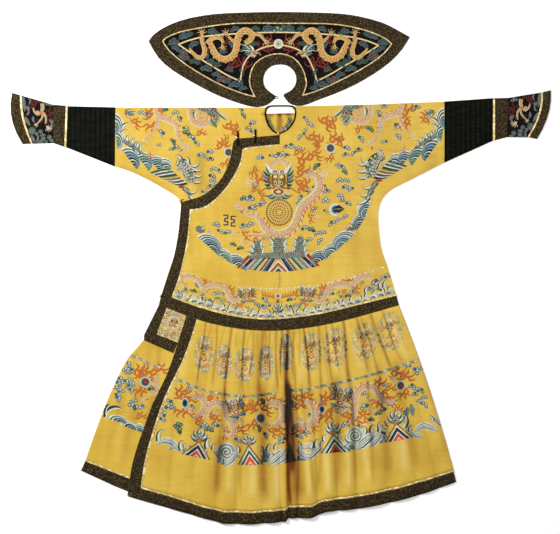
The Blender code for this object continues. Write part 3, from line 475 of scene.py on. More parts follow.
def silk(name, base, shade, light):
    """Satin with a fine weave, a soft streaky sheen painted into its colour and slow changes of tone, with
    painted shade and painted highlights from its gloom attribute.
    """
    made = Shader(name, rough=0.42, specular=0.22)
    streaks = made.noise(60, 3, 0.6, stretch=(1.0, 0.12, 1.0))
    slow = made.noise(7, 3, 0.55)
    tone = made.maths("ADD", made.maths("MULTIPLY", streaks, 0.22), made.maths("MULTIPLY", slow, 0.78))
    surface_colour = made.ramp(tone, (0.32, srgb(shade)), (0.5, srgb(base)), (0.68, srgb(light)))
    # Painted shade: where the gloom attribute is positive the colour is darkened toward brown; where it is
    # negative a painted highlight lightens it toward pale yellow.
    gloom_here = made.node("ShaderNodeAttribute", attribute_name="gloom").outputs["Fac"]
    dark = made.ramp(gloom_here, (0.0, OFF), (1.0, ON))
    painted_highlight = made.ramp(made.maths("MULTIPLY", gloom_here, -1.0), (0.0, OFF), (1.0, ON))
    surface_colour = made.mix(dark, surface_colour, made.mix(1.0, surface_colour, (0.36, 0.14, 0.0, 1), "MULTIPLY"))
    ribs = made.ramp(made.noise(150, 2, 0.6, stretch=(0.05, 1.0, 1.0)), (0.36, ON), (0.64, OFF))
    surface_colour = made.mix(ribs, surface_colour, made.mix(1.0, surface_colour, (0.93, 0.915, 0.87, 1), "MULTIPLY"))
    # Painted deep shadow: near-black where the gloom is deepest, along the deepest pleat.
    painted_deep_shadow = made.ramp(made.maths("MULTIPLY", gloom_here, 0.6), (0.5, OFF), (1.0, ON))
    surface_colour = made.mix(painted_deep_shadow, surface_colour, srgb("21170E"))
    made.colour(made.mix(painted_highlight, surface_colour, srgb("FBE79A")))
    weave = made.maths("ADD", made.bands(420, "X"), made.bands(300, "Y"))
    made.bump(made.maths("ADD", weave, made.maths("MULTIPLY", streaks, 1.2)), 0.1, 0.0003)
    return made.material


def brocade(name, ground, scroll, fleck, tint):
    """Dark silk with small woven scrolls and flecks of gold."""
    made = Shader(name, rough=0.6, specular=0.04)
    cells = made.node("ShaderNodeTexVoronoi", Scale=150.0, Randomness=0.8)
    made.link(made.where, cells.inputs["Vector"])
    twist = made.noise(260, 2, 0.6)
    slow = made.noise(90, 2, 0.5)
    gold = made.ramp(twist, (0.50, OFF), (0.58, ON))
    spot = made.ramp(cells.outputs["Distance"], (0.18, ON), (0.30, OFF))
    base = made.ramp(slow, (0.35, srgb(ground)), (0.62, srgb(tint)))
    base = made.mix(gold, base, srgb(scroll))
    made.colour(made.mix(spot, base, srgb(fleck)))
    made.bump(made.maths("ADD", twist, cells.outputs["Distance"]), 0.25, 0.0005)
    return made.material


def metal_thread(name, base, shade, scale):
    """Piping wound with gold-coloured thread, with painted glints of light in pale spots."""
    made = Shader(name, rough=0.38, metallic=0.15, sheen=0.1)
    wound = made.bands(scale, "DIAGONAL", 1.0)
    worn = made.noise(120, 3, 0.6)
    gold = made.mix(worn, srgb(shade), made.ramp(wound, (0.1, srgb(shade)), (0.6, srgb(base))))
    # Painted glints: pale spots where the piping would catch the light.
    painted_glints = made.ramp(made.noise(70, 2, 0.5), (0.54, OFF), (0.6, ON))
    made.colour(made.mix(painted_glints, gold, srgb("F4E2AC")))
    made.bump(wound, 0.5, 0.0008)
    return made.material


def dark_silk(name, base, light, rough=0.5, tucks=None):
    """Black silk; where it is tucked, a dark line runs along each tuck, so many metres from the next."""
    made = Shader(name, rough=rough, specular=0.02)
    streaks = made.noise(140, 3, 0.6, stretch=(0.25, 1.0, 1.0))
    surface_colour = made.ramp(streaks, (0.4, srgb(base)), (0.7, srgb(light)))
    if tucks:
        line = made.bands(math.pi / 10 / tucks, "X", 0.15)
        surface_colour = made.mix(1.0, surface_colour, made.ramp(line, (0.02, (0.3, 0.3, 0.3, 1)), (0.3, ON)), "MULTIPLY")
        made.bump(line, 0.4, 0.0008)
    else:
        made.bump(made.maths("ADD", made.bands(420, "X"), streaks), 0.15, 0.0004)
    made.colour(surface_colour)
    return made.material


def polished(name, base, shade):
    """Worn metal."""
    made = Shader(name, rough=0.25, metallic=0.9)
    worn = made.noise(500, 3, 0.6)
    made.colour(made.mix(worn, srgb(shade), srgb(base)))
    made.bump(worn, 0.1, 0.0003)
    return made.material


YELLOW = silk("yellow_silk", "D3AF42", "C9A238", "DDBB50")
WHITE = silk("white_silk", "F4F3EE", "EAE8E0", "FAFAF6")
BROCADE = brocade("brocade", "1B150E", "42361C", "6C5D3B", "2D241B")
GOLD = metal_thread("gold_piping", "E4D294", "BE9E58", 34)
RIBBED = dark_silk("ribbed_silk", "0C0E08", "191B12", tucks=0.0175)
SATIN = dark_silk("black_satin", "120C0C", "1C1414", 0.42)
CORD = dark_silk("black_cord", "0C0B0A", "1A1816", 0.6)
GILT = polished("gilt", "F6E3B0", "C9A45A")

# The material of each slot, and the CAD nodes whose cloth wears it
CLOTHS = {
    "yellow_silk": (YELLOW, ["body_left_half", "body_right_half", "outer_flap", "waist_panel_front",
                             "waist_panel_back", "ren_panel", "skirt_back"]),
    "brocade": (BROCADE, ["flap_border", "side_border", "waist_border_front", "waist_border_back",
                          "ren_border", "skirt_side_border", "skirt_back_border", "collar_border",
                          "cuff_band_left", "cuff_band_right", "cuff_border_left", "cuff_border_right"]),
    "gold_piping": (GOLD, ["flap_piping", "waist_piping", "skirt_side_piping", "skirt_back_piping",
                           "collar_piping", "cuff_piping_left", "cuff_piping_right", "sleeve_piping_left",
                           "sleeve_piping_right"]),
    "ribbed_silk": (RIBBED, ["sleeve_band_left", "sleeve_band_right"]),
    "black_satin": (SATIN, ["collar_panel", "cuff_left", "cuff_right"]),
    "white_silk": (WHITE, ["neck_facing"]),
}
SWELLED = ("flap_piping", "waist_piping", "skirt_side_piping", "skirt_back_piping")
PIECES = {}


def dress(item, material):
    """Gives a piece its material, and lets it ride on the part's one body."""
    item.data.materials.clear()
    item.data.materials.append(material)
    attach(item, "root")
    PIECES[item.name] = item
    return item


def swell(item):
    """Rounds a flat strip of piping, so that it stands over its seam."""
    mesh = item.data
    normals = np.empty(len(mesh.vertices) * 3, np.float32)
    mesh.vertices.foreach_get("normal", normals)
    normals = normals.reshape(-1, 3)
    co = coords(mesh)
    co[:, :2] += normals[:, :2] * PLUMP
    co[:, 2] += np.maximum(normals[:, 2], 0) * PLUMP_RISE
    set_coords(mesh, co)


for slot_name, (material, nodes) in CLOTHS.items():
    for node in nodes:
        pitch = PIPE_CELL if slot_name == "gold_piping" else CELL
        cloth = dress(refined(node, pitch), material)
        if material is YELLOW:
            shade_in(cloth)
        if node in SWELLED:
            swell(cloth)
apron = make_apron()
hem_border, hem_piping = make_hem()
dress(apron, YELLOW)
dress(hem_border, BROCADE)
dress(hem_piping, GOLD)

# Cords and buttons, rounder than the CAD's
NECK_RING = [(-0.007, 0.4716), (-0.020, 0.4755), (-0.034, 0.4875), (-0.047, 0.511), (-0.053, 0.539),
             (-0.050, 0.5575), (-0.038, 0.566), (0, 0.5672), (0.038, 0.566), (0.049, 0.558),
             (0.0525, 0.542), (0.046, 0.513), (0.026, 0.4865), (0.007, 0.4750)]
# Each cord's radius, and how far its two strands lie from its middle line, or 0 where it has one strand
Cord = namedtuple("Cord", "node radius spread path closed")
CORDS = [
    Cord("neck_binding", 0.0026, 0.0, [(x, y, 0.0037) for x, y in NECK_RING], True),
    Cord("toggle_cord_1", 0.0015, 0.0016,
         [(-0.150, 0.479, 0.0045), (-0.150, 0.465, 0.0052), (-0.149, 0.455, 0.0062),
          (-0.149, 0.440, 0.0064), (-0.149, 0.4265, 0.0060)], False),
    Cord("toggle_cord_2", 0.0015, 0.0016,
         [(-0.088, 0.4855, 0.0045), (-0.088, 0.470, 0.0052), (-0.088, 0.458, 0.0062),
          (-0.088, 0.447, 0.0064), (-0.088, 0.4365, 0.0060)], False),
    Cord("armpit_loop", 0.0013, 0.0,
         [(-0.345, 0.223, 0.0051), (-0.349, 0.229, 0.0052), (-0.3475, 0.237, 0.0052),
          (-0.340, 0.240, 0.0050)], False),
    Cord("waist_loop", 0.0012, 0.0,
         [(-0.404, -0.100, 0.0051), (-0.412, -0.100, 0.0051), (-0.4175, -0.099, 0.0051)], False),
    Cord("collar_loop", 0.0010, 0.0,
         [(-0.0190, 0.6015, 0.0036), (-0.0135, 0.6005, 0.0035), (-0.0100, 0.5970, 0.0028),
          (-0.0120, 0.5925, 0.0028), (-0.0180, 0.5920, 0.0035), (-0.0240, 0.5955, 0.0036)], False),
]
Button = namedtuple("Button", "node x y z radius")
BUTTONS = [
    Button("neck_button", -0.009, 0.4705, 0.0093, 0.0040),
    Button("toggle_ball_1", -0.1537, 0.456, 0.0078, 0.0038),
    Button("toggle_ball_2", -0.0932, 0.463, 0.0065, 0.0038),
    Button("armpit_button", -0.352, 0.2345, 0.0075, 0.0034),
    Button("waist_button", -0.4217, -0.098, 0.0042, 0.0034),
    Button("skirt_button", -0.350, -0.318, 0.0070, 0.0030),
    Button("collar_button", 0.0090, 0.6010, 0.0034, 0.0034),
]


CORD_SIDES = 10
BALL_SIDES, BALL_RINGS = 24, 16
BAND_RISE, BAND_PACE = 0.05, 9  # how far a ball's bands stand out, and how closely they follow, as shares


def tube(path, radius, closed, shift):
    """Points and faces of a cord along a path, moved sideways by shift."""
    sides = CORD_SIDES
    line = smooth(path, 5, closed)
    way = np.roll(line, -1, 0) - np.roll(line, 1, 0) if closed else np.gradient(line, axis=0)
    way /= np.linalg.norm(way, axis=1)[:, None]
    across = np.stack([way[:, 1], -way[:, 0], np.zeros(len(way))], axis=1)
    across /= np.linalg.norm(across, axis=1)[:, None]
    up = np.cross(across, way)
    turn = np.arange(sides) * 2 * math.pi / sides
    rings = (line + across * shift)[:, None] + radius * (
        across[:, None] * np.cos(turn)[None, :, None] + up[:, None] * np.sin(turn)[None, :, None])
    n = len(line)
    faces = []
    for i in range(n if closed else n - 1):
        a, b = i * sides, (i + 1) % n * sides
        faces += [(a + k, a + (k + 1) % sides, b + (k + 1) % sides, b + k) for k in range(sides)]
    if not closed:
        faces += [tuple(range(sides))[::-1], tuple(range((n - 1) * sides, n * sides))]
    return rings.reshape(-1, 3), faces


def make_cord(cord):
    """A cord of one strand, or of two side by side."""
    points, faces = tube(cord.path, cord.radius, cord.closed, cord.spread)
    if cord.spread:
        more, extra = tube(cord.path, cord.radius, cord.closed, -cord.spread)
        faces = faces + [tuple(i + len(points) for i in face) for face in extra]
        points = np.vstack([points, more])
    item = put_mesh("cord_" + cord.node, points, faces)
    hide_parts(cord.node)
    return item


def make_button(button):
    """A ball of gilt metal with raised bands about it, its faces in the same order each run."""
    sides = BALL_SIDES
    fall = np.linspace(0, math.pi, BALL_RINGS + 1)[1:-1, None]
    turn = np.arange(sides) * 2 * math.pi / sides
    rings = np.stack([np.sin(fall) * np.cos(turn), np.sin(fall) * np.sin(turn),
                      np.cos(fall) + np.zeros(sides)], axis=-1)
    points = np.vstack([(0, 0, 1), rings.reshape(-1, 3), (0, 0, -1)])
    points *= button.radius * (1 + BAND_RISE * np.cos(points[:, 2:] * BAND_PACE))
    points += (button.x, button.y, button.z)
    foot = len(points) - 1
    faces = []
    for k in range(sides):
        here, beside = 1 + k, 1 + (k + 1) % sides
        faces.append((0, here, beside))
        for down in range(0, foot - 1 - sides, sides):
            faces.append((here + down, here + down + sides, beside + down + sides, beside + down))
        faces.append((foot, foot - 1 - sides + beside, foot - 1 - sides + here))
    item = put_mesh("ball_" + button.node, points, faces)
    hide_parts(button.node)
    return item


for cord in CORDS:
    dress(make_cord(cord), CORD)
for button in BUTTONS:
    dress(make_button(button), GILT)


# Embroidery: motifs are drawn in chart units, then laid on the cloth that lies under them

THREADS = {
    "white": "E6E4D4", "cream": "F2E2B8", "pale_blue": "8CA6B0", "blue": "3F6480", "navy": "18243A",
    "pale_green": "9DB08A", "teal": "3C6C64", "green": "2A4C3C", "red": "A93C1A", "orange": "CC6E2C",
    "peach": "D8AC7C", "pale_peach": "E2C498", "dark_red": "7E2E28", "purple": "7A6684", "gold": "DDB668",
    "brown": "7C5628", "black": "14100E", "lilac": "B4A6AE", "olive": "86803C", "grey": "8C8A7C",
    "amber": "D49A50", "straw": "E6BE7C", "slate": "4A6272", "sea": "486C60", "scarlet": "E2542C",
    "rust": "B4521C", "flame": "E08C48", "tan": "C49660", "dusk": "2E3B34", "mist": "66786C",
    "indigo": "22344E", "maroon": "5C2018", "ash": "84928A",
}
FULL_BRIGHT = 275  # the code's scale: above 255, so that the threads are a little darker than their codes
TINT = {name: i for i, name in enumerate(THREADS)}
THREAD_COLOURS = np.array([[int(code[i : i + 2], 16) / FULL_BRIGHT for i in (0, 2, 4)] + [1.0]
                           for code in THREADS.values()])


def tints(*names):
    """The numbers of the threads with these names."""
    return np.array([TINT[name] for name in names])


class Work:
    """One panel's embroidery: grids of points, with the colour of every cell."""

    def __init__(self, name, *grounds):
        self.name, self.grounds = name, grounds
        self.points, self.faces, self.tints, self.count = [], [], [], 0

    def net(self, points, colours, ring=False):
        """Adds a grid of points (u, v, rise in mm), closed into a ring or not."""
        rows, columns = points.shape[:2]
        index = np.arange(rows * columns).reshape(rows, columns) + self.count
        if ring:
            index = np.hstack([index, index[:, :1]])
        cells = np.stack([index[:-1, :-1], index[:-1, 1:], index[1:, 1:], index[1:, :-1]], axis=-1)
        self.points.append(points.reshape(-1, 3))
        self.faces.append(cells.reshape(-1, 4))
        self.tints.append(np.broadcast_to(colours, cells.shape[:2]).reshape(-1))
        self.count += rows * columns


class Pen:
    """Draws in its own small chart, which lies on a work at (u, v), turned, sized, mirrored and squeezed."""

    def __init__(self, work, u=0.0, v=0.0, size=1.0, turn=0.0, flip=1, squeeze=1.0, level=0.0):
        self.work, self.origin, self.size, self.level = work, np.array((u, v)), size, level
        angle = math.radians(turn)
        turned = np.array(((math.cos(angle), math.sin(angle)), (-math.sin(angle), math.cos(angle))))
        self.matrix = np.diag((flip, 1.0)) @ turned @ np.diag((squeeze, 1.0)) * size

    def place(self, points):
        """Points of the pen's own chart, set down on the chart of the robe."""
        return np.asarray(points, float) @ self.matrix + self.origin

    def line(self, path, pitch, closed=False):
        """The smooth path at an even pitch, set down on the chart."""
        fine = self.place(smooth(path, 8, closed))
        if closed:
            fine = np.vstack([fine, fine[:1]])
        far = np.insert(np.cumsum(np.hypot(*np.diff(fine, axis=0).T)), 0, 0)
        steps = max(3, int(far[-1] / pitch) + 1)
        want = np.linspace(0, far[-1], steps)
        return np.stack([np.interp(want, far, fine[:, k]) for k in (0, 1)], axis=1)

    def ribbon(self, path, width, lanes, taper=(1, 1), level=0.0, pitch=0.55, straight=False, closed=False):
        """Thread laid along a path: lanes are its edges from -1 to 1, its colours and its rises in mm."""
        edges, colours, rises = lanes
        if straight:
            line = self.place(path)
            if len(line) == 2:
                line = np.vstack([line[0], line[0] + (line[1] - line[0]) * 0.5, line[1]])
        else:
            line = self.line(path, pitch, closed)
        way = np.gradient(line, axis=0)
        way /= np.maximum(np.hypot(*way.T), 1e-9)[:, None]
        normal = np.stack([way[:, 1], -way[:, 0]], axis=1)
        share = np.linspace(0, 1, len(line))
        half = np.interp(share, np.linspace(0, 1, len(taper)), taper) * width * self.size / 2
        flat = line[:, None] + normal[:, None] * np.asarray(edges)[None, :, None] * half[:, None, None]
        thin = np.minimum(1, half / 0.3)[:, None]
        rise = np.broadcast_to(np.asarray(rises) * thin + self.level + level, flat.shape[:2])
        if callable(colours):
            colours = colours(len(line) - 1, len(edges) - 1)
        self.work.net(np.concatenate([flat, rise[..., None]], axis=2), colours)

    def rings(self, u, v, radii, colours, start=0.0, sweep=360.0, squash=1.0, level=0.0, steps=None,
              dome=0.25, lean=0.0):
        """A disc or fan in rings, from its middle out."""
        full = sweep >= 360
        steps = steps or max(7, int(radii[-1] * self.size * 5 * sweep / 360) + 3)
        angle = np.radians(start + np.linspace(0, sweep, steps, endpoint=not full))
        reach = np.asarray((0.0, *radii))
        flat = np.stack([u + np.outer(reach, np.cos(angle)),
                         v + np.outer(reach, np.sin(angle)) * squash], axis=-1)
        flat[..., 0] += lean * (reach[-1] - reach)[:, None]
        rise = self.level + level + dome * (1 - (reach / reach[-1]) ** 2) + EDGE_RISE
        points = np.concatenate([self.place(flat.reshape(-1, 2)).reshape(flat.shape),
                                 np.broadcast_to(rise[:, None, None], (*flat.shape[:2], 1))], axis=2)
        self.work.net(points, np.asarray(colours)[:, None], ring=full)


# The lanes of a ribbon: where its threads meet, their colours, and their rises at those places in mm
EDGE_RISE, PLAIN_RISE, RIM_RISE = 0.06, 0.3, 0.35


def plain(fill):
    """Lanes of one colour."""
    return (-1, 0, 1), tints(fill, fill), (EDGE_RISE, PLAIN_RISE, EDGE_RISE)


def rimmed(fill, rim, share):
    """Lanes of one colour with a rim, which begins at a share of the way out."""
    slope = RIM_RISE * 0.7
    rises = (EDGE_RISE, slope, RIM_RISE, slope, EDGE_RISE)
    return (-1, -share, 0, share, 1), tints(rim, fill, fill, rim), rises


def domed(edges):
    return EDGE_RISE + PLAIN_RISE * np.sqrt(np.maximum(0, 1 - np.square(edges)))


def shaded(rim, *fills):
    """A rim and several colours side by side."""
    edges = np.linspace(-1, 1, len(fills) + 3)
    return edges, tints(rim, *fills, rim), domed(edges)


# How wide a ribbon is along its way
LEAF = (0.15, 0.7, 1.0, 0.85, 0.45, 0.06)
TAIL = (1.0, 0.9, 0.7, 0.45, 0.08)

# The clouds' dark and light threads, by hue. Those of the collar and the cuffs are drawn in their own way
CLOUDS = [("slate", "white"), ("sea", "white"), ("dusk", "white"), ("green", "pale_green"),
          ("mist", "indigo"), ("sea", "dusk"), ("olive", "cream"), ("mist", "pale_green"),
          ("grey", "slate")]
COLLAR_HUES, CUFF_HUE = (4, 5), 8
CLOUD_HEADS = ([(-1.5, 0.1), (0.05, -0.95), (1.5, 0.2), (0.1, 1.0)],
               [(-1.9, 1.0), (-0.4, -0.3), (1.3, 0.3), (2.4, -0.9)])
CLOUD_TAILS = (([(-0.4, 0.6), (0.9, 1.2), (2.3, 0.5), (3.6, 1.1)], 0.95),
               ([(0.4, 0.2), (-1.2, 1.4), (-2.7, 1.1), (-3.6, 1.9)], 0.85))


def cloud(work, u, v, size=1.0, turn=0.0, hue=0, heads=3):
    """A small lucky cloud: curled heads with rims, in a cluster or a row, with tails."""
    pen = Pen(work, u, v, size * 1.06, turn)
    dark, light = CLOUDS[hue]
    for path, width in CLOUD_TAILS[: heads - 1]:
        pen.ribbon(path, width, rimmed(light, dark, 0.3), TAIL)
    for k, head in enumerate(CLOUD_HEADS[(int(u) + hue) % 2][:heads]):
        if hue == CUFF_HUE:
            pair = ("ash", "dusk") if k % 2 else ("dusk", "ash")
            radii, hues = (0.25, 0.5, 0.95, 1.2), pair * 2
        elif hue in COLLAR_HUES:
            radii, hues = (0.3, 0.92, 1.2), (dark, light, dark)
        else:
            heart = "sea" if hue < 4 and (k + int(v)) % 4 == 3 else light
            radii, hues = (0.2, 0.6 + 0.12 * (k % 2), 1.2), (dark, heart, dark)
        pen.rings(*head, radii, tints(*hues), level=0.35)


# The tongues of a flame and their widths
FLAME = [
    ([(-3.4, 2.4), (-2.0, 2.5), (-0.6, 1.5), (0.3, -0.1), (1.8, -0.9), (2.7, -2.3), (2.3, -3.7)], 0.95),
    ([(-1.0, 1.9), (-2.2, 0.8), (-1.8, -0.7), (-3.2, -1.9)], 0.85),
    ([(0.0, 0.4), (-0.9, -0.8), (0.0, -2.1), (-0.8, -3.6)], 0.85),
    ([(1.0, -0.5), (2.3, 0.4), (3.6, -0.3), (4.4, -1.5)], 0.8),
]


def flame(work, u, v, size=1.0, turn=0.0, flip=1, tongues=4, hue="rust"):
    """Curling tongues from one curved root, orange with dark edges."""
    pen = Pen(work, u, v, size, turn, flip)
    lanes = rimmed("flame", "rust", 0.3) if hue == "rust" else plain(hue)
    for path, width in FLAME[:tongues]:
        pen.ribbon(path, width * (1.14 if hue == "rust" else 0.8), lanes, (0.3, 0.9, 1.0, 0.85, 0.12))


def pearl(work, u, v, size, heart="red", squeeze=1.0):
    """A flaming pearl's ball."""
    pen = Pen(work, u, v, size, squeeze=squeeze)
    pen.rings(0, 0, (0.22, 0.36, 0.5, 0.72, 0.86, 1.0),
              tints(heart, heart, "navy", "teal", "pale_blue", "white"), level=0.5)


# The darker thread that goes with each hue of a wave, nearer its root
DEEPER = {"slate": "blue", "blue": "navy", "teal": "green", "sea": "teal", "pale_green": "sea",
          "pale_blue": "slate"}


def fan(work, u, v, width, height, turn=0.0, flip=1, hues=("blue", "teal"), level=0.0, lean=None):
    """A breaking wave: bands of colour with pale lines between them, gathered toward one end."""
    bands = max(3, int(height / 1.45))
    radii, colours = [], []
    for k in range(bands):
        radii += [(k + 0.64) / bands, (k + 1.0) / bands]
        hue = hues[k % len(hues)]
        colours += [DEEPER.get(hue, hue) if k < bands * 0.6 else hue,
                    "white" if k > bands - 3 else ("pale_blue", "pale_green", "white")[k % 3]]
    radii[-2] -= 0.15 / bands
    pen = Pen(work, u, v, 1.0, turn, flip, level=level)
    pen.matrix = np.diag((width / 2, height)) @ pen.matrix
    pen.size = height * 0.8
    pen.rings(0, 0, radii, tints(*colours), start=180, sweep=180, dome=0.35,
              lean=math.copysign(0.5, turn) if lean is None else lean)


def leaf(work, path, width, hues, level):
    """A wave seen end on: a leaning leaf of bands with white edges."""
    first, second = hues
    edges = (-1, -0.74, -0.56, -0.4, -0.2, -0.04, 0.16, 0.32, 0.52, 0.7, 1)
    colours = tints("white", first, "dusk", "white", second, "white", first, "white", second, "white")
    Pen(work, level=level).ribbon(path, width, (edges, colours, domed(edges)), (0.3, 0.9, 1, 0.8, 0.2))


def curl(pen, u, v, r, turns, fill, rim, width, start=0.0):
    """A spiral of foam."""
    angle = np.linspace(0, turns * 2 * math.pi, max(6, int(turns * 9)))
    reach = r * (1 - 0.82 * angle / angle[-1])
    path = np.stack([u + reach * np.cos(angle + start), v + reach * np.sin(angle + start)], axis=1)
    pen.ribbon(path, width, rimmed(fill, rim, 0.45), (0.5, 1, 1, 0.9, 0.6), level=0.3, pitch=0.4)


def horn(work, u0, v0, u1, v1, width=3.0, bulge=1.0, level=0.35, hue="pale_green"):
    """A hooked horn of rock from its root to its tip: dark along its back, white inside it."""
    root, tip = np.array((u0, v0)), np.array((u1, v1))
    way = tip - root
    out = np.array((way[1], -way[0])) * bulge
    colours = tints("navy", "sea", "white", "white", hue)
    edges = (-1, -0.62, -0.25, 0.2, 0.62, 1)
    if bulge > 0:
        colours, edges = colours[::-1], [-a for a in edges[::-1]]
    lanes = (edges, colours, (0.06, 0.3, 0.4, 0.4, 0.3, 0.06))
    pen = Pen(work, level=level)
    path = [root, root + way * 0.35 + out * 0.26, root + way * 0.8 + out * 0.3, tip]
    pen.ribbon(path, width * 1.15, lanes, (1.1, 1.0, 0.75, 0.4, 0.06), pitch=0.45)


# The colours of the small curls that fill a rock, and of the larger ones, from their middles out
SPECKS = (("white", "sea", "mist"), ("pale_green", "olive", "dusk"), ("slate", "pale_blue", "mist"),
          ("brown", "lilac", "dusk"), ("cream", "green", "mist"), ("orange", "pale_green", "sea"))
CURLS = (("navy", "white", "slate"), ("green", "pale_green", "dusk"), ("slate", "white", "navy"),
         ("olive", "white", "sea"), ("dusk", "white", "mist"), ("rust", "cream", "green"))
LARGE_CURL = 1.4


def mottled(work, path, width, taper, level, size):
    """Ground closely filled with small curls."""
    pen = Pen(work, level=level)
    sets = CURLS if size > LARGE_CURL else SPECKS
    line = pen.line(path, 1.9 * size)
    way = np.gradient(line, axis=0)
    way /= np.hypot(*way.T)[:, None]
    for k, (spot, to) in enumerate(zip(line, way)):
        half = np.interp(k / len(line), np.linspace(0, 1, len(taper)), taper) * width / 2
        count = max(1, round(half * 1.1 / size))
        for j in range(count):
            u, v = spot + np.array((to[1], -to[0])) * (half * (2 * j + 1) / count - half + 0.3 * (-1) ** k)
            hues = sets[(4 * k + 7 * j + int(u)) % len(sets)]
            pen.rings(u, v, np.array((0.35, 0.75, 1.1)) * size, tints(*hues), level=0.3, steps=7)


def rock(work, path, width, taper=(0.9, 1.1, 0.8, 0.4), level=0.35, size=1.0):
    """The mottled body of a rock, closely dotted with curls."""
    Pen(work, level=level).ribbon(path, width, shaded("dusk", "sea", "olive", "green", "sea", "slate"),
                                  taper)
    mottled(work, path, width * 0.9, taper, level + 0.2, size)


def crag(work, u, v, height, width, turn=0.0, flip=1, pairs=3, level=0.3):
    """A rock among the waves: a cluster of curls with hooked horns about it."""
    pen = Pen(work, u, v, 1.0, turn, flip)
    sides = ((-0.16, -0.1, -0.52, -0.62, 1), (0.16, -0.1, 0.52, -0.62, -1), (-0.14, -0.45, -0.3, -1.0, 1),
             (0.14, -0.45, 0.3, -1.0, -1), (0.0, -0.5, 0.1, -1.12, 1))
    for x0, y0, x1, y1, bulge in sides[: 2 * pairs - 1]:
        (a, b), (c, d) = pen.place([(x0 * width, y0 * height), (x1 * width, y1 * height)])
        horn(work, a, b, c, d, width * 0.27, bulge * flip * 0.5, level)
    spine = pen.place([(0, 0.05 * height), (0.02 * width, -0.3 * height), (0, -0.66 * height)])
    rock(work, spine, width * 0.54, (1, 1.1, 0.6), level)
    for k, (x, y) in enumerate(((-0.24, -0.12), (0.24, -0.14), (0.0, -0.42), (-0.14, -0.3), (0.14, -0.3))):
        (a, b), = pen.place([(x * width, y * height)])
        Pen(work, level=level + 0.5).rings(a, b, np.array((0.024, 0.05, 0.08)) * width,
                                           tints("teal", "white", ("slate", "green")[k % 2]))
    (a, b), = pen.place([(0, 0)])
    Pen(work, level=level + 0.7).rings(a, b, (0.05 * width, 0.1 * width), tints("flame", "scarlet"))


BAND_RISES = np.array((0.05, 0.3, 0.05))  # across a band of standing water, in mm


def bundle(work, upper, lower, hues):
    """Curved bands of standing water between two lines, one of each colour."""
    upper, lower = smooth(upper, 5), smooth(lower, 5)
    for k, name in enumerate(hues):
        grid = np.stack([upper + (lower - upper) * (k + t) / len(hues) for t in (0, 0.5, 1)], axis=1)
        rise = np.broadcast_to(BAND_RISES[:, None] + 0.2, (*grid.shape[:2], 1))
        work.net(np.concatenate([grid, rise], axis=2), TINT[name])


def mountain(work, left, apex, right, colours, level=0.25):
    """Nested chevrons of standing water, meeting at a peak."""
    left, apex, right = (np.array(p, float) for p in (left, apex, right))
    foot = (left + right) / 2
    t = np.linspace(0, 1, 12)[:, None]
    outer = np.vstack([left + (apex - left) * t, (apex + (right - apex) * t)[1:]])
    n = len(colours)
    for k, name in enumerate(colours):
        grid = np.stack([foot + (outer - foot) * (1 - (k + s) / n) for s in (0, 1)])
        rise = np.full((*grid.shape[:2], 1), level + 0.15 * (k % 2))
        work.net(np.concatenate([grid, rise], axis=2), TINT[name])


def stripes(work, lanes):
    """Bands of standing water side by side: each lane's two edges and its colour."""
    for first, second, name in lanes:
        a, b = smooth(first, 4), smooth(second, 4)
        mid = (a + b) / 2
        grid = np.stack([a, mid, b])
        rise = np.broadcast_to(BAND_RISES[:, None, None] + 0.15, (*grid.shape[:2], 1))
        work.net(np.concatenate([grid, rise], axis=2), TINT[name])


def scales(first, second, fin, belly, edge):
    """Colours for a dragon's body: pale edges, rows of scales, and a barred belly."""

    def lay(segments, lanes):
        i, k = np.mgrid[0:segments, 0:lanes]
        pattern = np.where((i // 2 + k) % 2, TINT[first], TINT[belly])
        pattern[(i // 2 + 2 * k) % 5 == 0] = TINT[second]
        pattern[:, 0] = TINT[edge]
        pattern[:, 1] = TINT[fin]
        pattern[:, -2] = np.where(i[:, 0] // 2 % 2, TINT[belly], TINT[first])
        pattern[:, -1] = TINT[edge]
        return pattern

    return lay


# The lanes of a dragon's body from its back to its belly
BODY_EDGES = (-1.14, -0.9, -0.76, -0.34, 0.06, 0.44, 0.8, 1.02)
BODY_RISES = (0.06, 0.3, 0.45, 0.75, 0.8, 0.7, 0.45, 0.08)
# The threads of its scales, of the scales between them, its fin, belly, edges and spines
ROBE_DRAGON = ("peach", "tan", "rust", "pale_peach", "white", "scarlet")
GOLD_DRAGON = ("gold", "straw", "gold")
COLLAR_DRAGON = ("amber", "brown", "brown", "straw", "straw", "gold")
CUFF_DRAGON = ("straw", "tan", "olive", "ash", "cream", "orange")


def body(work, path, width, dyes=ROBE_DRAGON, taper=(0.7, 1, 1, 0.9, 0.6, 0.25), side=1, level=0.35):
    """A dragon's body along a path, with scales and small spines on its back."""
    pen = Pen(work, level=level)
    lanes = (np.array(BODY_EDGES) * side, scales(*dyes[:5]), BODY_RISES)
    pen.ribbon(path, width, lanes, taper, pitch=0.35)
    line = pen.line(path, 5.0)
    way = np.gradient(line, axis=0)
    way /= np.hypot(*way.T)[:, None]
    for k, (spot, to) in enumerate(zip(line[1:-1], way[1:-1])):
        share = (k + 1) / len(line)
        half = np.interp(share, np.linspace(0, 1, len(taper)), taper) * width / 2
        out = np.array((to[1], -to[0])) * side * -1
        root = spot + out * half
        spine = [root - out * half * 0.3, root + out * half * 0.3 + to * half * 0.2,
                 root + out * half * 0.45 + to * half * 0.8]
        pen.ribbon(spine, half * 0.4, plain(dyes[5]), (1, 0.8, 0.1), level=0.1)


TALONS = (-86, -45, -5, 38, 82)  # the talons' angles in degrees


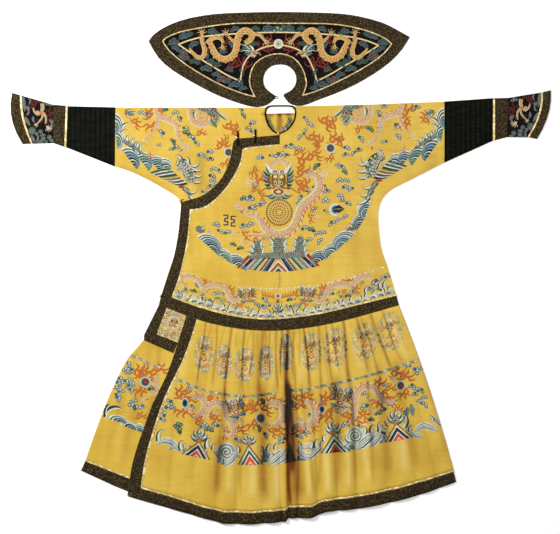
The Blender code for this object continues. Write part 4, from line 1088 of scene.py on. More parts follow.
def claw(work, u, v, size=1.0, turn=0.0, flip=1, leg=1.6, dyes=ROBE_DRAGON, level=0.4, bone="white"):
    """A leg with its five spread talons, and a lick of flame at the elbow."""
    pen = Pen(work, u, v, size, turn, flip, level=level)
    pen.ribbon([(-leg * 1.6, 0.5), (-leg, -0.2), (-0.5, 0.2), (0.3, 0)], 1.25,
               rimmed(dyes[0], "white", 0.7), (1.2, 1, 0.8, 0.9))
    pen.rings(0.35, 0, (0.35, 0.62, 0.8), tints(dyes[1], dyes[0], "white"), level=0.3)
    for spread in TALONS:
        a = math.radians(spread)
        tip = np.array((math.cos(a), math.sin(a)))
        bend = np.array((-tip[1], tip[0])) * 0.3
        root = np.array((0.35, 0)) + tip * 0.5
        pen.ribbon([root, root + tip * 0.8 + bend, root + tip * 1.7 + bend * 0.4, root + tip * 2.3 - bend],
                   0.52, rimmed(dyes[1], bone, 0.35), (1, 0.9, 0.6, 0.1), level=0.15)
    for k in range(3):
        lick = [(-leg * (0.8 + 0.3 * k), -0.3), (-leg * (1.0 + 0.3 * k), -1.2),
                (-leg * (1.6 + 0.3 * k), -1.7)]
        pen.ribbon(lick, 0.5, rimmed("orange", dyes[2], 0.3), (1, 0.8, 0.1), level=-0.1)


HEAD_LEVEL = 0.9  # how high a head lies over its ground, in mm
# The angle and the length of each lock of a mane, seen from the side
LOCKS = ((150, 2.3), (168, 2.6), (186, 2.7), (204, 2.5), (222, 2.1), (128, 1.7))


def side_head(work, u, v, size, turn, flip, dyes, mane):
    """A dragon's head from the side, looking to the right."""
    pen = Pen(work, u, v, size, turn, flip, level=HEAD_LEVEL)
    for k, (angle, length) in enumerate(LOCKS):
        a = math.radians(angle)
        tip = np.array((math.cos(a), -math.sin(a)))
        bend = np.array((-tip[1], tip[0])) * (0.35 if k % 2 else -0.35)
        root = np.array((-0.35, 0.05)) + tip * 0.3
        lock = [root, root + tip * length * 0.45 + bend, root + tip * length * 0.8,
                root + tip * length - bend]
        pen.ribbon(lock, 0.62, rimmed(mane[k % 3], "pale_green", 0.6), LEAF, level=-0.3)
    for lift in (0.0, 0.35):
        antler = [(-0.25, -0.55 - lift), (-0.9, -1.2 - lift), (-1.6, -1.4 - lift), (-2.2, -1.9 - lift)]
        pen.ribbon(antler, 0.34, rimmed("cream", "white", 0.5), (1, 0.9, 0.6, 0.15), level=0.1)
    pen.ribbon([(-1.0, -1.25), (-0.9, -1.9)], 0.25, plain("white"), (1, 0.2), level=0.1)
    pen.ribbon([(-0.8, 0.1), (0.1, -0.15), (0.9, -0.12), (1.35, -0.3)], 1.15,
               rimmed(dyes[0], "white", 0.72), (0.9, 1.15, 0.85, 0.75, 0.5))
    pen.ribbon([(-0.3, 0.45), (0.4, 0.4), (1.25, 0.28)], 0.5, plain("red"), (0.7, 1, 0.5), level=0.12)
    pen.ribbon([(-0.9, -0.3), (-0.3, -0.1), (0.2, 0.12)], 0.22, plain("brown"), (0.3, 1, 0.3), level=0.5)
    pen.ribbon([(-0.5, 0.55), (0.1, 0.85), (0.75, 0.85), (1.15, 0.62)], 0.42,
               rimmed(dyes[1], "white", 0.55), (1, 1, 0.8, 0.3), level=0.2)
    pen.rings(1.3, -0.38, (0.14, 0.3), tints("red", dyes[0]), level=0.5)
    pen.rings(0.28, -0.46, (0.14, 0.27, 0.4), tints("black", "white", "black"), level=0.7)
    pen.ribbon([(-0.1, -0.62), (0.3, -0.82), (0.75, -0.62)], 0.24, plain(mane[0]), (0.3, 1, 0.2), level=0.8)
    for k in range(4):
        pen.ribbon([(-0.3 + 0.4 * k, 0.9), (-0.4 + 0.4 * k, 1.35), (-0.75 + 0.4 * k, 1.65)], 0.28,
                   rimmed(mane[k % 3], "white", 0.4), (1, 0.8, 0.1), level=0.0)
    for lift, hue in ((0.0, "white"), (0.3, dyes[2])):
        pen.ribbon([(1.3, -0.2 + lift), (1.9, -0.5 + lift), (2.3, 0.1 + lift), (2.8, -0.2 + lift)], 0.16,
                   plain(hue), (1, 0.9, 0.7, 0.2), level=0.1)


# The locks of a mane round a face that looks out: root, tip and thread
MANE = ((7.5, -8, 12.4, -15.6, "teal"), (8.4, -6, 15, -12, "dusk"), (8.8, -3.4, 15.4, -8, "purple"),
        (8.8, -0.6, 15.2, -3.6, "green"), (8.4, 2, 13.4, 1.4, "navy"), (7.6, 4.2, 11.6, 5.4, "teal"))


def front_head(work, u, v, size, squeeze=1.0, dyes=("gold", "amber", "rust"), rich=True, turn=0.0):
    """A dragon's face looking straight out, about one size high."""
    pen = Pen(work, u, v, size / 30, turn, squeeze=squeeze, level=HEAD_LEVEL)
    light, middle, dark = dyes
    for side in (-1, 1):
        for x0, y0, x1, y1, hue in MANE if rich else MANE[::2]:
            lock = [(x0 * side, y0), ((x0 + x1) / 2 * side, (y0 + y1) / 2 + 1.2), (x1 * side, y1)]
            pen.ribbon(lock, 3.2, rimmed(hue, "pale_green", 0.66), (1.0, 1.0, 0.7, 0.1), level=-0.3)
        antler = [(6.6 * side, -9.4), (8.0 * side, -12.4), (10.6 * side, -15.4), (13.4 * side, -20)]
        pen.ribbon(antler, 3.6, rimmed("cream", "white", 0.3), (1.0, 0.95, 0.7, 0.4, 0.1))
        whisker = [(5 * side, 6), (10 * side, 4.6), (14 * side, 6.6), (20 * side, 10.8)]
        pen.ribbon(whisker, 1.2, plain("rust"), (1, 0.9, 0.7, 0.3))
        cheek = [(5 * side, 11), (9 * side, 13.4), (14 * side, 12)]
        pen.ribbon(cheek, 3.4, rimmed("sea", "pale_green", 0.5), LEAF)
        beard = [(2 * side, 12), (5 * side, 15), (10 * side, 15.6)]
        pen.ribbon(beard, 3.2, rimmed("green", "pale_blue", 0.5), LEAF)
    face = shaded("brown", middle, light, "olive", light, middle, "brown")
    pen.ribbon([(0, -10.4), (0, -4), (0, 2), (0, 7.6)], 12.6, face, (0.86, 1.12, 0.9, 0.66), straight=True)
    for side in (-1, 1):
        pen.rings(3.4 * side, -10.2, (1.2, 2.3, 3.0), tints("lilac", "purple", "white"), squash=0.8,
                  level=0.4)
        pen.rings(3.0 * side, -5.4, (1.0, 2.0, 2.5), tints("cream", light, "brown"), squash=1.2, level=0.4)
        brow = [(0.8 * side, -2.2), (3.4 * side, -3.4), (6.4 * side, -1.6)]
        pen.ribbon(brow, 1.6, rimmed("sea", "brown", 0.5), (0.5, 1, 0.3), level=0.6)
        pen.rings(2.9 * side, 0.9, (0.95, 1.4, 1.9), tints("black", "white", "olive"), level=0.7)
        under_eye = [(6.6 * side, -2.4), (6.2 * side, 1.4), (3.8 * side, 4.4)]
        pen.ribbon(under_eye, 1.8, rimmed("orange", "brown", 0.4), (0.4, 1, 0.5), level=0.6)
        ear = [(8.2 * side, -6), (9.2 * side, -2.4), (8.0 * side, 1.4)]
        pen.ribbon(ear, 3.0, shaded("brown", "dark_red", "purple"), (0.3, 1, 0.3), level=0.1)
    pen.rings(0, 3.4, (0.9, 1.7, 2.2), tints("peach", light, "brown"), level=0.7)
    pen.rings(0, 8.9, (1.6, 2.6, 4.2, 5.2, 6.2), tints("white", "peach", dark, "brown", "cream"),
              squash=0.6, level=0.5)
    chin = [(-4.6, 13.0), (0, 14.6), (4.6, 13.0)]
    pen.ribbon(chin, 2.4, rimmed("pale_green", "teal", 0.5), (0.5, 1, 0.5), level=0.3)


def grounds():
    """One search tree over all the cloth, and the piece that owns each of its faces."""
    corners, faces, owners = [], [], []
    depsgraph = bpy.context.evaluated_depsgraph_get()
    for name, item in PIECES.items():
        mesh = item.evaluated_get(depsgraph).to_mesh()
        mesh.calc_loop_triangles()
        triangles = np.empty(len(mesh.loop_triangles) * 3, int)
        mesh.loop_triangles.foreach_get("vertices", triangles)
        faces.append(triangles.reshape(-1, 3) + len(corners))
        corners += coords(mesh).tolist()
        owners += [name] * (len(triangles) // 3)
    return BVHTree.FromPolygons(corners, np.vstack(faces).tolist()), owners


ABOVE = 0.05     # the height from which the cloth is looked for
BESIDE = 0.0005  # and how far beside a point it is looked for, where there is none right below
LIE = 0.05       # how far the stitches' lowest points lie over the cloth, in mm
SLIVER = 1e-10   # twice the area of the smallest triangle that is kept
UNEVEN = 0.06    # how much the brightness of the stitches varies
DARKENING = 0.8  # how much the gloom of the pleats darkens them


def heights(x, y, allowed, tree, owners):
    """The height of the allowed cloth under each point, or nan where there is none."""
    z = np.full(len(x), np.nan)
    down = Vector((0, 0, -1))
    for i, (px, py) in enumerate(zip(x.tolist(), y.tolist())):
        for dx, dy in ((0, 0), (BESIDE, 0.0), (-BESIDE, 0.0), (0.0, BESIDE), (0.0, -BESIDE)):
            hit, _, face, _ = tree.ray_cast(Vector((px + dx, py + dy, ABOVE)), down)
            if face is not None and owners[face] in allowed:
                z[i] = hit.z
                break
    return z


def sewn(work, tree, owners):
    """The work's mesh, laid on its ground, without what falls off it."""
    points = np.vstack(work.points)
    x = (points[:, 0] - CHART_U) * UNIT
    y = (CHART_V - points[:, 1]) * UNIT
    z = heights(x, y, set(work.grounds), tree, owners)
    places = np.stack([x, y, z + (points[:, 2] + LIE) * MM], axis=1)
    quads = np.vstack(work.faces)
    corners = np.vstack([quads[:, (0, 1, 2)], quads[:, (0, 2, 3)]])
    colours = np.tile(np.concatenate(work.tints), 2)
    a, b, c = (places[corners[:, k]] for k in range(3))
    cross = np.cross(b - a, c - a)
    keep = np.linalg.norm(cross, axis=1) > SLIVER
    corners, colours, cross = corners[keep], colours[keep], cross[keep]
    back = cross[:, 2] < 0
    corners[back] = corners[back][:, ::-1]
    used = np.unique(corners)
    index = np.full(len(places), -1)
    index[used] = np.arange(len(used))
    mesh = bpy.data.meshes.new(work.name)
    mesh.from_pydata(places[used].tolist(), [], index[corners].tolist())
    mesh.shade_smooth()
    tone = 1 + UNEVEN * RNG.standard_normal(len(colours))[:, None]
    # Painted shade: the gloom of the pleats darkens the apron's stitches in their colours.
    if "cloth_skirt_front" in work.grounds:
        middles = points[corners].mean(axis=1)
        tone = tone * (1 - DARKENING * np.clip(gloom(middles[:, 0], middles[:, 1]), -0.1, 1))[:, None]
    each = np.clip(THREAD_COLOURS[colours] * np.hstack([tone, tone, tone, np.ones_like(tone)]), 0, 1)
    layer = mesh.color_attributes.new("thread", "BYTE_COLOR", "CORNER")
    layer.data.foreach_set("color_srgb", np.repeat(each, 3, axis=0).ravel())
    item = add_object(work.name, mesh)
    item.data.materials.append(THREAD)
    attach(item, "root")


def thread_silk():
    """Floss: the colours laid on the mesh, with fine stitches and a little unevenness."""
    made = Shader("thread", rough=0.5, specular=0.12)
    colour = made.node("ShaderNodeAttribute", attribute_name="thread").outputs["Color"]
    worn = made.noise(160, 3, 0.6)
    tone = made.ramp(worn, (0.3, (0.80, 0.79, 0.76, 1)), (0.6, ON))
    made.colour(made.mix(1.0, colour, tone, "MULTIPLY"))
    stitches = made.bands(700, "DIAGONAL", 2.0)
    made.bump(stitches, 0.3, 0.0004)
    return made.material


THREAD = thread_silk()

# Where the motifs lie. The bodice first


def scatter(work, draw, *rows):
    """Draws one motif for each row of its places and sizes."""
    for row in rows:
        draw(work, *row)


def disc(work, level, u, v, radii, *hues):
    """Rings of thread, each of its own colour, from the middle out."""
    Pen(work, level=level).rings(u, v, radii, tints(*hues))


CHEST_MIDDLE = 278.3


def bodice_waves(water):
    """Waves round the lower edge of the yoke: place, width, height, turn, side, hues."""
    blue, sea = ("slate", "blue", "teal", "blue"), ("teal", "pale_green", "sea")
    pale = ("sea", "slate", "pale_blue")
    scatter(
        water, fan,
        (209, 247, 31, 12, 42, 1, blue), (223, 257.4, 24, 8.6, 37, 1, sea),
        (236, 265.4, 26, 11, 28, 1, blue), (320, 261.4, 26, 11.5, -26, 1, blue),
        (332.6, 252.6, 25, 9.6, -36, 1, sea), (344.6, 243.4, 28, 12, -42, 1, pale),
        (361.4, 223.4, 20, 9.6, -58, 1, blue), (367, 211, 21, 10, -70, 1, pale),
        (114.6, 124.6, 23, 8.6, 90, 1, pale), (116.4, 139.4, 22, 8.6, 84, 1, sea),
        (444.6, 118.6, 23, 8.6, -88, 1, pale), (442.6, 132, 22, 8.6, -80, 1, sea),
    )
    # Those below the sleeves gather at their inner ends
    for row in (
        (163.4, 166.6, 17, 9.0, 46, 1, sea), (154.4, 165.2, 18, 10.4, 50, 1, blue),
        (142.4, 162.6, 22, 10.6, 52, 1, sea), (129, 159.2, 26, 11, 54, 1, blue),
        (397, 161.8, 17, 9.0, -46, 1, sea), (406.4, 160.2, 18, 10.4, -50, 1, blue),
        (418.4, 157, 22, 10.6, -53, 1, sea), (432, 151, 26, 11, -56, 1, blue),
    ):
        fan(water, *row, 0.0, math.copysign(0.9, row[4]))


def standing_water(water):
    """Straight bands beside the chest's middle, a peak between them, and a bundle below each arm."""
    # How far each band's two edges are from the middle, at its foot and at its head, its height and colours
    for mirror, drop in ((-1, 0.0), (1, -1.0)):
        def spot(u, v):
            return (CHEST_MIDDLE + mirror * u, v + drop * max(0.0, (u - 12) / 14))

        for u0, u1, top0, top1, height, light, dark in (
            (10.2, 16.2, 2.2, 6.8, 258.6, "slate", "navy"),
            (16.2, 22.2, 6.4, 10.6, 257.2, "gold", "brown"),
            (22.2, 27.8, 10.6, 16.0, 256.8, "pale_green", "green"),
            (27.8, 33.0, 16.0, 21.4, 256.6, "lilac", "olive"),
            (33.0, 37.6, 21.4, 26.0, 256.8, "navy", "navy"),
            (37.6, 41.6, 26.0, 30.6, 255.4, "red", "red"),
        ):
            foot = 271.5 - 0.0022 * (u0 + 2) ** 2
            half, top_half = u0 + (u1 - u0) * 0.5, top0 + (top1 - top0) * 0.5
            near, middle, far = ([spot(a, foot), spot(b, height)]
                                 for a, b in ((u0, top0), (half, top_half), (u1, top1)))
            stripes(water, [(near, middle, dark), (middle, far, light)])
            Pen(water).ribbon(near, 0.5, plain("white"), level=0.3)
    mountain(water, (267.8, 271.8), (CHEST_MIDDLE, 260.4), (289, 271.4),
             ["white", "red", "orange", "white", "green", "teal"])
    hues = ("dusk", "sea", "white", "dusk", "mist", "white", "green", "dusk", "olive", "straw", "brown",
            "olive", "white", "dusk", "slate", "white", "dusk", "navy")
    bundle(water, [(150, 172.6), (158, 169.8), (169, 168.2)], [(173, 183.8), (180, 185.8), (188, 184.2)],
           hues)
    bundle(water, [(407, 166), (399, 163.2), (389, 160.4)], [(386, 178.4), (379, 179.6), (372.6, 178.2)],
           hues)
    for tip in (((178.6, 187), (183, 187.2), (187, 188.6)), ((382, 180.6), (377.6, 180.8), (374, 182.2))):
        Pen(water).ribbon(tip, 3.6, rimmed("red", "orange", 0.6), (0.4, 1, 0.5), level=0.25)


def bodice_rocks(water):
    """Rocks standing in the water, with their horns."""
    scatter(
        water, rock,
        ([(178, 162), (184, 164.6), (188.6, 171), (191, 181)], 11.5, (0.7, 1, 1.1, 0.7), 0.3, 1.5),
        ([(382.6, 156), (376, 159), (372, 166), (370, 176)], 11.5, (0.7, 1, 1.1, 0.7), 0.3, 1.5),
        ([(278.5, 257), (278.4, 248), (278.6, 238.6)], 13, (1.2, 0.95, 0.9, 0.7)),
        ([(257.6, 257), (257.4, 249), (257.4, 242.0)], 9.6, (1.3, 1.0, 0.8, 0.5)),
        ([(299.4, 255), (299.4, 247), (300.4, 237.6)], 9.6, (1.3, 1.0, 0.9, 0.4)),
        ([(250, 257.6), (262, 255.6), (278, 256.4), (294, 254.6), (304, 256)], 5.6, (0.7, 1, 1, 1, 0.7)),
        ([(124, 141), (131, 145), (138, 150), (143.6, 154)], 4.4),
        ([(435, 136), (428, 139.6), (421, 144), (415, 148)], 4.4),
        ([(376, 181.6), (371, 190), (366, 199)], 4.6), ([(184, 188), (189, 193), (190, 197)], 4.6),
        ([(198, 226.6), (199.6, 230.4), (203.6, 231)], 5.0),
        ([(355.4, 225.4), (351.6, 228.6), (347.6, 229.6)], 4.6),
    )
    scatter(
        water, horn,
        (273.6, 247, 267.4, 238.6, 4.4, -0.7), (283.4, 247, 289.6, 238.6, 4.4, 0.7),
        (273.6, 252, 267.6, 245.4, 4.0, -0.7), (283.6, 252, 289.6, 245.4, 4.0, 0.7),
        (275, 243, 271.6, 235.6, 3.2, -0.6), (282, 243, 285.6, 235.6, 3.2, 0.6),
        (260.6, 249, 264.6, 239.6, 4.4, 0.7), (262, 254.6, 266.4, 247, 4.0, 0.7),
        (254.6, 248, 250.4, 241.4, 3.8, -0.7), (253.6, 252.6, 248, 247, 3.6, -0.7),
        (256.4, 245, 254.8, 238.8, 3.0, -0.6), (252, 256.6, 245.6, 252.6, 3.2, -0.7),
        (302.6, 247, 307.2, 239.6, 4.2, 0.7), (296.4, 247, 292.6, 239.0, 4.2, -0.7),
        (303.6, 251.6, 308.8, 245.4, 3.8, 0.7), (295.4, 252.4, 291.0, 246, 3.8, -0.7),
        (300.6, 242, 302.6, 234.6, 3.2, 0.6), (297.6, 243, 295.4, 235.6, 3.0, -0.6),
        (304.6, 255.4, 310, 251, 3.0, 0.7), (127, 142, 130.6, 135.4, 3.4, 0.8),
        (132, 145, 136, 138.6, 3.4, 0.8), (137, 149, 141, 142.6, 3.4, 0.8),
        (122.6, 127, 130.6, 125, 3.2, 0.8), (122, 133, 128, 130.6, 2.8, 0.8),
        (432, 138, 428.4, 131.4, 3.4, -0.8), (427, 140.6, 423, 134, 3.4, -0.8),
        (422, 144, 418, 137.6, 3.4, -0.8), (436.4, 122, 428.4, 120, 3.2, -0.8),
        (437, 128, 431, 125.6, 2.8, -0.8), (380, 159, 360.4, 155.2, 4.2, 1),
        (379, 159.6, 375.6, 149.6, 4.0, -1), (382.4, 159, 384.4, 150.6, 3.6, 1),
        (368, 162, 357.2, 161.8, 3.4, 1), (368, 169, 356.6, 168.2, 3.4, 1),
        (368, 175.6, 357.2, 174.8, 3.2, 1), (377, 182, 361, 184.2, 4.0, 1), (372, 190, 359, 193, 4.2, 1),
        (368.6, 197, 355.6, 200.6, 4.0, 1), (181, 167, 174.6, 155.6, 4.4, -1),
        (186.6, 166.6, 184.6, 157, 4.0, -1), (186, 164.4, 199, 160.6, 4.0, -1),
        (192, 168.6, 201.8, 167.2, 3.2, -1), (193.4, 174.6, 202.2, 173.4, 3.2, -1),
        (193, 180.6, 201.8, 179.2, 3.0, -1), (184, 188, 197.6, 188.8, 4.0, -1),
        (189.4, 196, 199.6, 197.4, 3.2, -1), (135.6, 151, 140, 142, 3.4, 1),
        (141.6, 154, 145, 143.6, 3.2, 1), (131, 147, 134, 139.8, 3.0, 1), (128, 141, 127, 136, 2.4, 1),
        (418, 147, 415, 141, 3.2, -1), (422.6, 145, 420, 137.4, 3.2, -1),
        (428.6, 141.4, 426, 133.6, 3.2, -1), (433, 137.6, 431.4, 130.6, 3.0, -1),
        (202, 230, 206, 227, 2.4, 1), (352, 228, 348, 224.6, 2.6, -1),
    )
    scatter(water, crag, (126, 112, 11, 8, 110, 1, 2), (433, 112, 10, 7, -110, 1, 2))


def bodice_foam(water):
    """Balls of foam: place, radius, colour and heart."""
    foam = Pen(water, level=0.6)
    for u, v, r, hue, heart in (
        (252, 256, 1.9, "blue", "navy"), (255.5, 253.6, 1.7, "lilac", "red"),
        (261, 256.6, 2.0, "blue", "teal"), (265, 255.6, 1.6, "cream", "gold"),
        (268.5, 253.4, 1.9, "blue", "navy"), (272, 256, 1.8, "pale_green", "teal"),
        (278.3, 257.6, 2.3, "navy", "pale_blue"), (282.4, 255.4, 1.7, "pale_green", "teal"),
        (286, 253.6, 1.8, "lilac", "blue"), (288.6, 251.4, 1.5, "pale_blue", "navy"),
        (290.4, 255, 1.6, "peach", "red"), (293.4, 250.6, 1.7, "pale_green", "green"),
        (296.4, 253.6, 1.7, "lilac", "teal"), (300.2, 249.6, 2.1, "navy", "white"),
        (303.6, 252.4, 1.5, "pale_blue", "blue"), (178.5, 169.5, 1.9, "blue", "navy"),
        (183, 172, 2.0, "pale_green", "teal"), (187.5, 175, 1.9, "blue", "navy"),
        (191, 169, 2.2, "lilac", "red"), (192.5, 175, 2.0, "pale_green", "green"),
        (189, 180.5, 1.8, "blue", "navy"), (194, 181, 1.7, "lilac", "blue"),
        (181, 166.5, 1.6, "pale_blue", "navy"), (186, 168.5, 1.7, "teal", "white"),
        (367, 164, 2.0, "lilac", "red"), (372, 168, 1.9, "pale_green", "teal"),
        (377, 163, 1.8, "blue", "navy"), (381, 165, 1.8, "pale_blue", "teal"),
        (369, 172, 2.0, "blue", "navy"), (366, 178, 1.6, "lilac", "blue"),
        (372, 174, 1.6, "pale_green", "green"), (374, 166, 1.6, "cream", "red"),
        (346, 228, 1.9, "orange", "red"), (209, 232, 1.5, "orange", "red"),
        (153, 155, 1.7, "orange", "red"), (385, 161.5, 1.5, "gold", "olive"),
        (403, 149.5, 2.0, "orange", "brown"), (125, 141, 1.6, "red", "orange"),
        (434, 134, 1.5, "red", "brown"),
    ):
        foam.rings(u, v, (0.38 * r, 0.6 * r, 0.85 * r, r), tints(heart, "white", hue, "white"))
    foam.rings(278.4, 250.6, (1.1, 1.9, 2.6, 3.1), tints("peach", "red", "cream", "orange"), squash=0.66)
    foam.rings(278.4, 241.4, (0.8, 1.6), tints("orange", "red"))


def bodice_dragons(work):
    """The dragon that faces out on the chest, and those along the sleeves."""
    body(work, [(270.6, 169), (271.6, 164.6), (275, 161.4), (279, 160.4), (283.4, 161.4), (287, 164.8),
                (288, 169)], 3.8, taper=(1, 1, 1), side=-1)
    body(work, [(306, 178), (313, 174.5), (318.6, 179), (319, 189), (312, 198), (303, 205), (298.5, 214),
                (295, 224), (287, 231.5), (277, 233.4), (268, 231)], 8.2,
         taper=(0.4, 0.9, 1, 1, 0.95, 0.9, 0.8), side=-1)
    body(work, [(272, 232.5), (265, 228), (261, 221), (256, 216.5), (249, 214.5), (243, 211.5)], 7.0,
         taper=(1.1, 1.1, 0.8, 0.55, 0.4), side=1)
    body(work, [(269, 233), (262, 235.5), (253, 234.5), (245, 235)], 4.6, taper=(1, 0.9, 0.6, 0.2), side=-1)
    claw(work, 239, 207.6, 2.1, -150, 1)
    for row in ((250, 182, 2.2, 160), (323.6, 173.6, 2.2, 18), (243, 240.5, 1.5, 200), (316, 217, 1.5, -24),
                (235, 233, 1.3, 150)):
        claw(work, *row, dyes=GOLD_DRAGON, bone="cream")
    front_head(work, 278.4, 182.6, 31)
    body(work, [(155, 107), (157, 114.6), (164, 118.6), (172, 121.6), (177, 126), (177, 133), (180, 140),
                (184, 145)], 5.8, taper=(0.7, 1, 1, 0.95, 0.8, 0.5, 0.3), side=-1)
    body(work, [(158, 117), (157.4, 124), (154, 131), (149.6, 136.6), (146, 139)], 4.4,
         taper=(0.9, 0.9, 0.7, 0.4, 0.2))
    body(work, [(402, 103), (400, 110.6), (393, 114.6), (385, 117.6), (380.6, 122), (380.6, 129),
                (377, 136), (373, 141)], 5.8, taper=(0.7, 1, 1, 0.95, 0.8, 0.5, 0.3))
    body(work, [(399, 113), (400, 120), (403, 127), (408, 132.6), (411, 135)], 4.4,
         taper=(0.9, 0.9, 0.7, 0.4, 0.2), side=-1)
    claw(work, 185.6, 148, 1.9, -58, 1)
    claw(work, 371.6, 143.6, 1.9, -122, 1)
    for row in ((145, 140.6, 1.6, -130), (412, 136.6, 1.6, -50)):
        claw(work, *row, dyes=GOLD_DRAGON, bone="cream")


def shoulder_dragons(work):
    """On each shoulder a coil, filled with scales, below a face cut off by the shoulder line."""
    for u, v, mirror in ((201, 115, 1), (359.4, 112.4, -1)):
        pen = Pen(work, u, v, 1.0, 0.0, mirror, level=0.3)
        for path in ([(-4.6, -6), (-5.8, 0), (-2.4, 5.2), (3.0, 4.6), (5.4, 0.4), (3.6, -3.4)],
                     [(-1.6, -5), (-2.2, 0), (1.4, 1.2), (2.4, -2)]):
            body(work, pen.place(path), 4.8, ("peach", "straw", "tan", "gold", "flame", "flame"),
                 (0.9, 1, 1, 0.9, 0.7), -mirror, 0.2)
        coil = [(-11.4, -8), (-11.2, 0), (-8.0, 7.0), (-1, 10.2), (6.4, 8.4), (10, 3)]
        body(work, pen.place(coil), 4.6, taper=(1, 1, 1, 0.9, 0.6), side=-mirror)
        for path, hue in (([(-6.6, -5), (-7.6, 0), (-6.0, 4)], "dusk"),
                          ([(-4.4, -4), (-5.6, 1), (-3.6, 5)], "white"),
                          ([(17, -4), (22, 0.6), (28.6, 5)], "white"),
                          ([(17, -2.4), (21, 2), (26, 5.6)], "dusk"),
                          ([(9, 2), (11.6, 7), (14.6, 11)], "dusk"),
                          ([(11.6, 1), (14.6, 6), (18, 9)], "sea"),
                          ([(8, 4), (9.6, 8), (12, 12)], "pale_green"),
                          ([(13.6, 0), (17, 3.6), (20, 7)], "pale_green")):
            pen.ribbon(path, 2.2, rimmed(hue, "pale_green", 0.6), LEAF, level=0.5)
        face = [(u + a * mirror, v + b) for a, b in ((1, -9), (8, -6.4), (13, -1), (16, 5))]
        rock(work, face, 10, (0.9, 1.1, 0.9, 0.4), 0.5, 1.2)
        disc(work, 1.3, u + 8.6 * mirror, v - 6.4, (0.9, 1.4, 2.0), "black", "white", "brown")
        disc(work, 1.3, u - 1.4 * mirror, v - 6.4, (0.9, 1.4, 2.0), "black", "white", "brown")
        disc(work, 1.3, u + 13 * mirror, v + 0.6, (0.8, 1.6, 2.1), "red", "dark_red", "peach")


def bodice_flames(work):
    """Flames and flaming pearls."""
    scatter(
        work, flame,
        (258, 181, 2.2, -12), (254, 171, 1.5, 150), (303, 172, 2.3, 8), (304, 160, 2.4, -10),
        (300, 185, 2.0, 100), (306, 186, 2.2, -62), (255.5, 190, 1.3, 20), (311, 218, 1.4, 105),
        (262, 196, 1.3, 100), (136, 123, 1.8, 80), (151.5, 114, 2.4, 8), (152.5, 126, 2.2, 188),
        (201, 133, 1.5, 20), (231, 128, 2.3, 60), (236, 131, 1.8, -70), (222, 145, 2.0, 12),
        (225, 141, 1.6, -50), (226, 163, 1.5, 170), (326, 123, 2.4, 75), (333, 124, 1.9, -60),
        (314, 139, 2.3, 60), (318, 143, 1.9, -40), (335, 139, 2.2, 12), (340, 142, 1.6, -60),
        (316, 155, 1.9, 60), (330, 158, 1.5, 170), (359, 129, 1.5, -20), (407, 111, 2.4, -10),
        (405, 123, 2.0, 172), (425, 118, 1.8, -80), (299, 152, 1.7, 15), (150, 156, 1.1, 70),
        (404, 151, 1.1, -80), (246, 235.5, 1.6, 95), (256, 235.5, 1.6, 110), (267, 233.5, 1.5, 125),
        (160, 110, 1.4, 60),
    )
    pearl(work, 228.6, 152.4, 4.6)
    pearl(work, 330.4, 148.2, 5.0)
    Pen(work, level=0.4).rings(335.4, 209.6, (2.2, 3.2, 4.6, 6.2),
                               tints("navy", "blue", "pale_blue", "white"), start=60, sweep=240)
    Pen(work, level=0.9).ribbon([(333.6, 209.6), (338, 209), (344, 209)], 8.0,
                                shaded("navy", "navy", "olive", "navy"), (0.5, 1, 0.1))


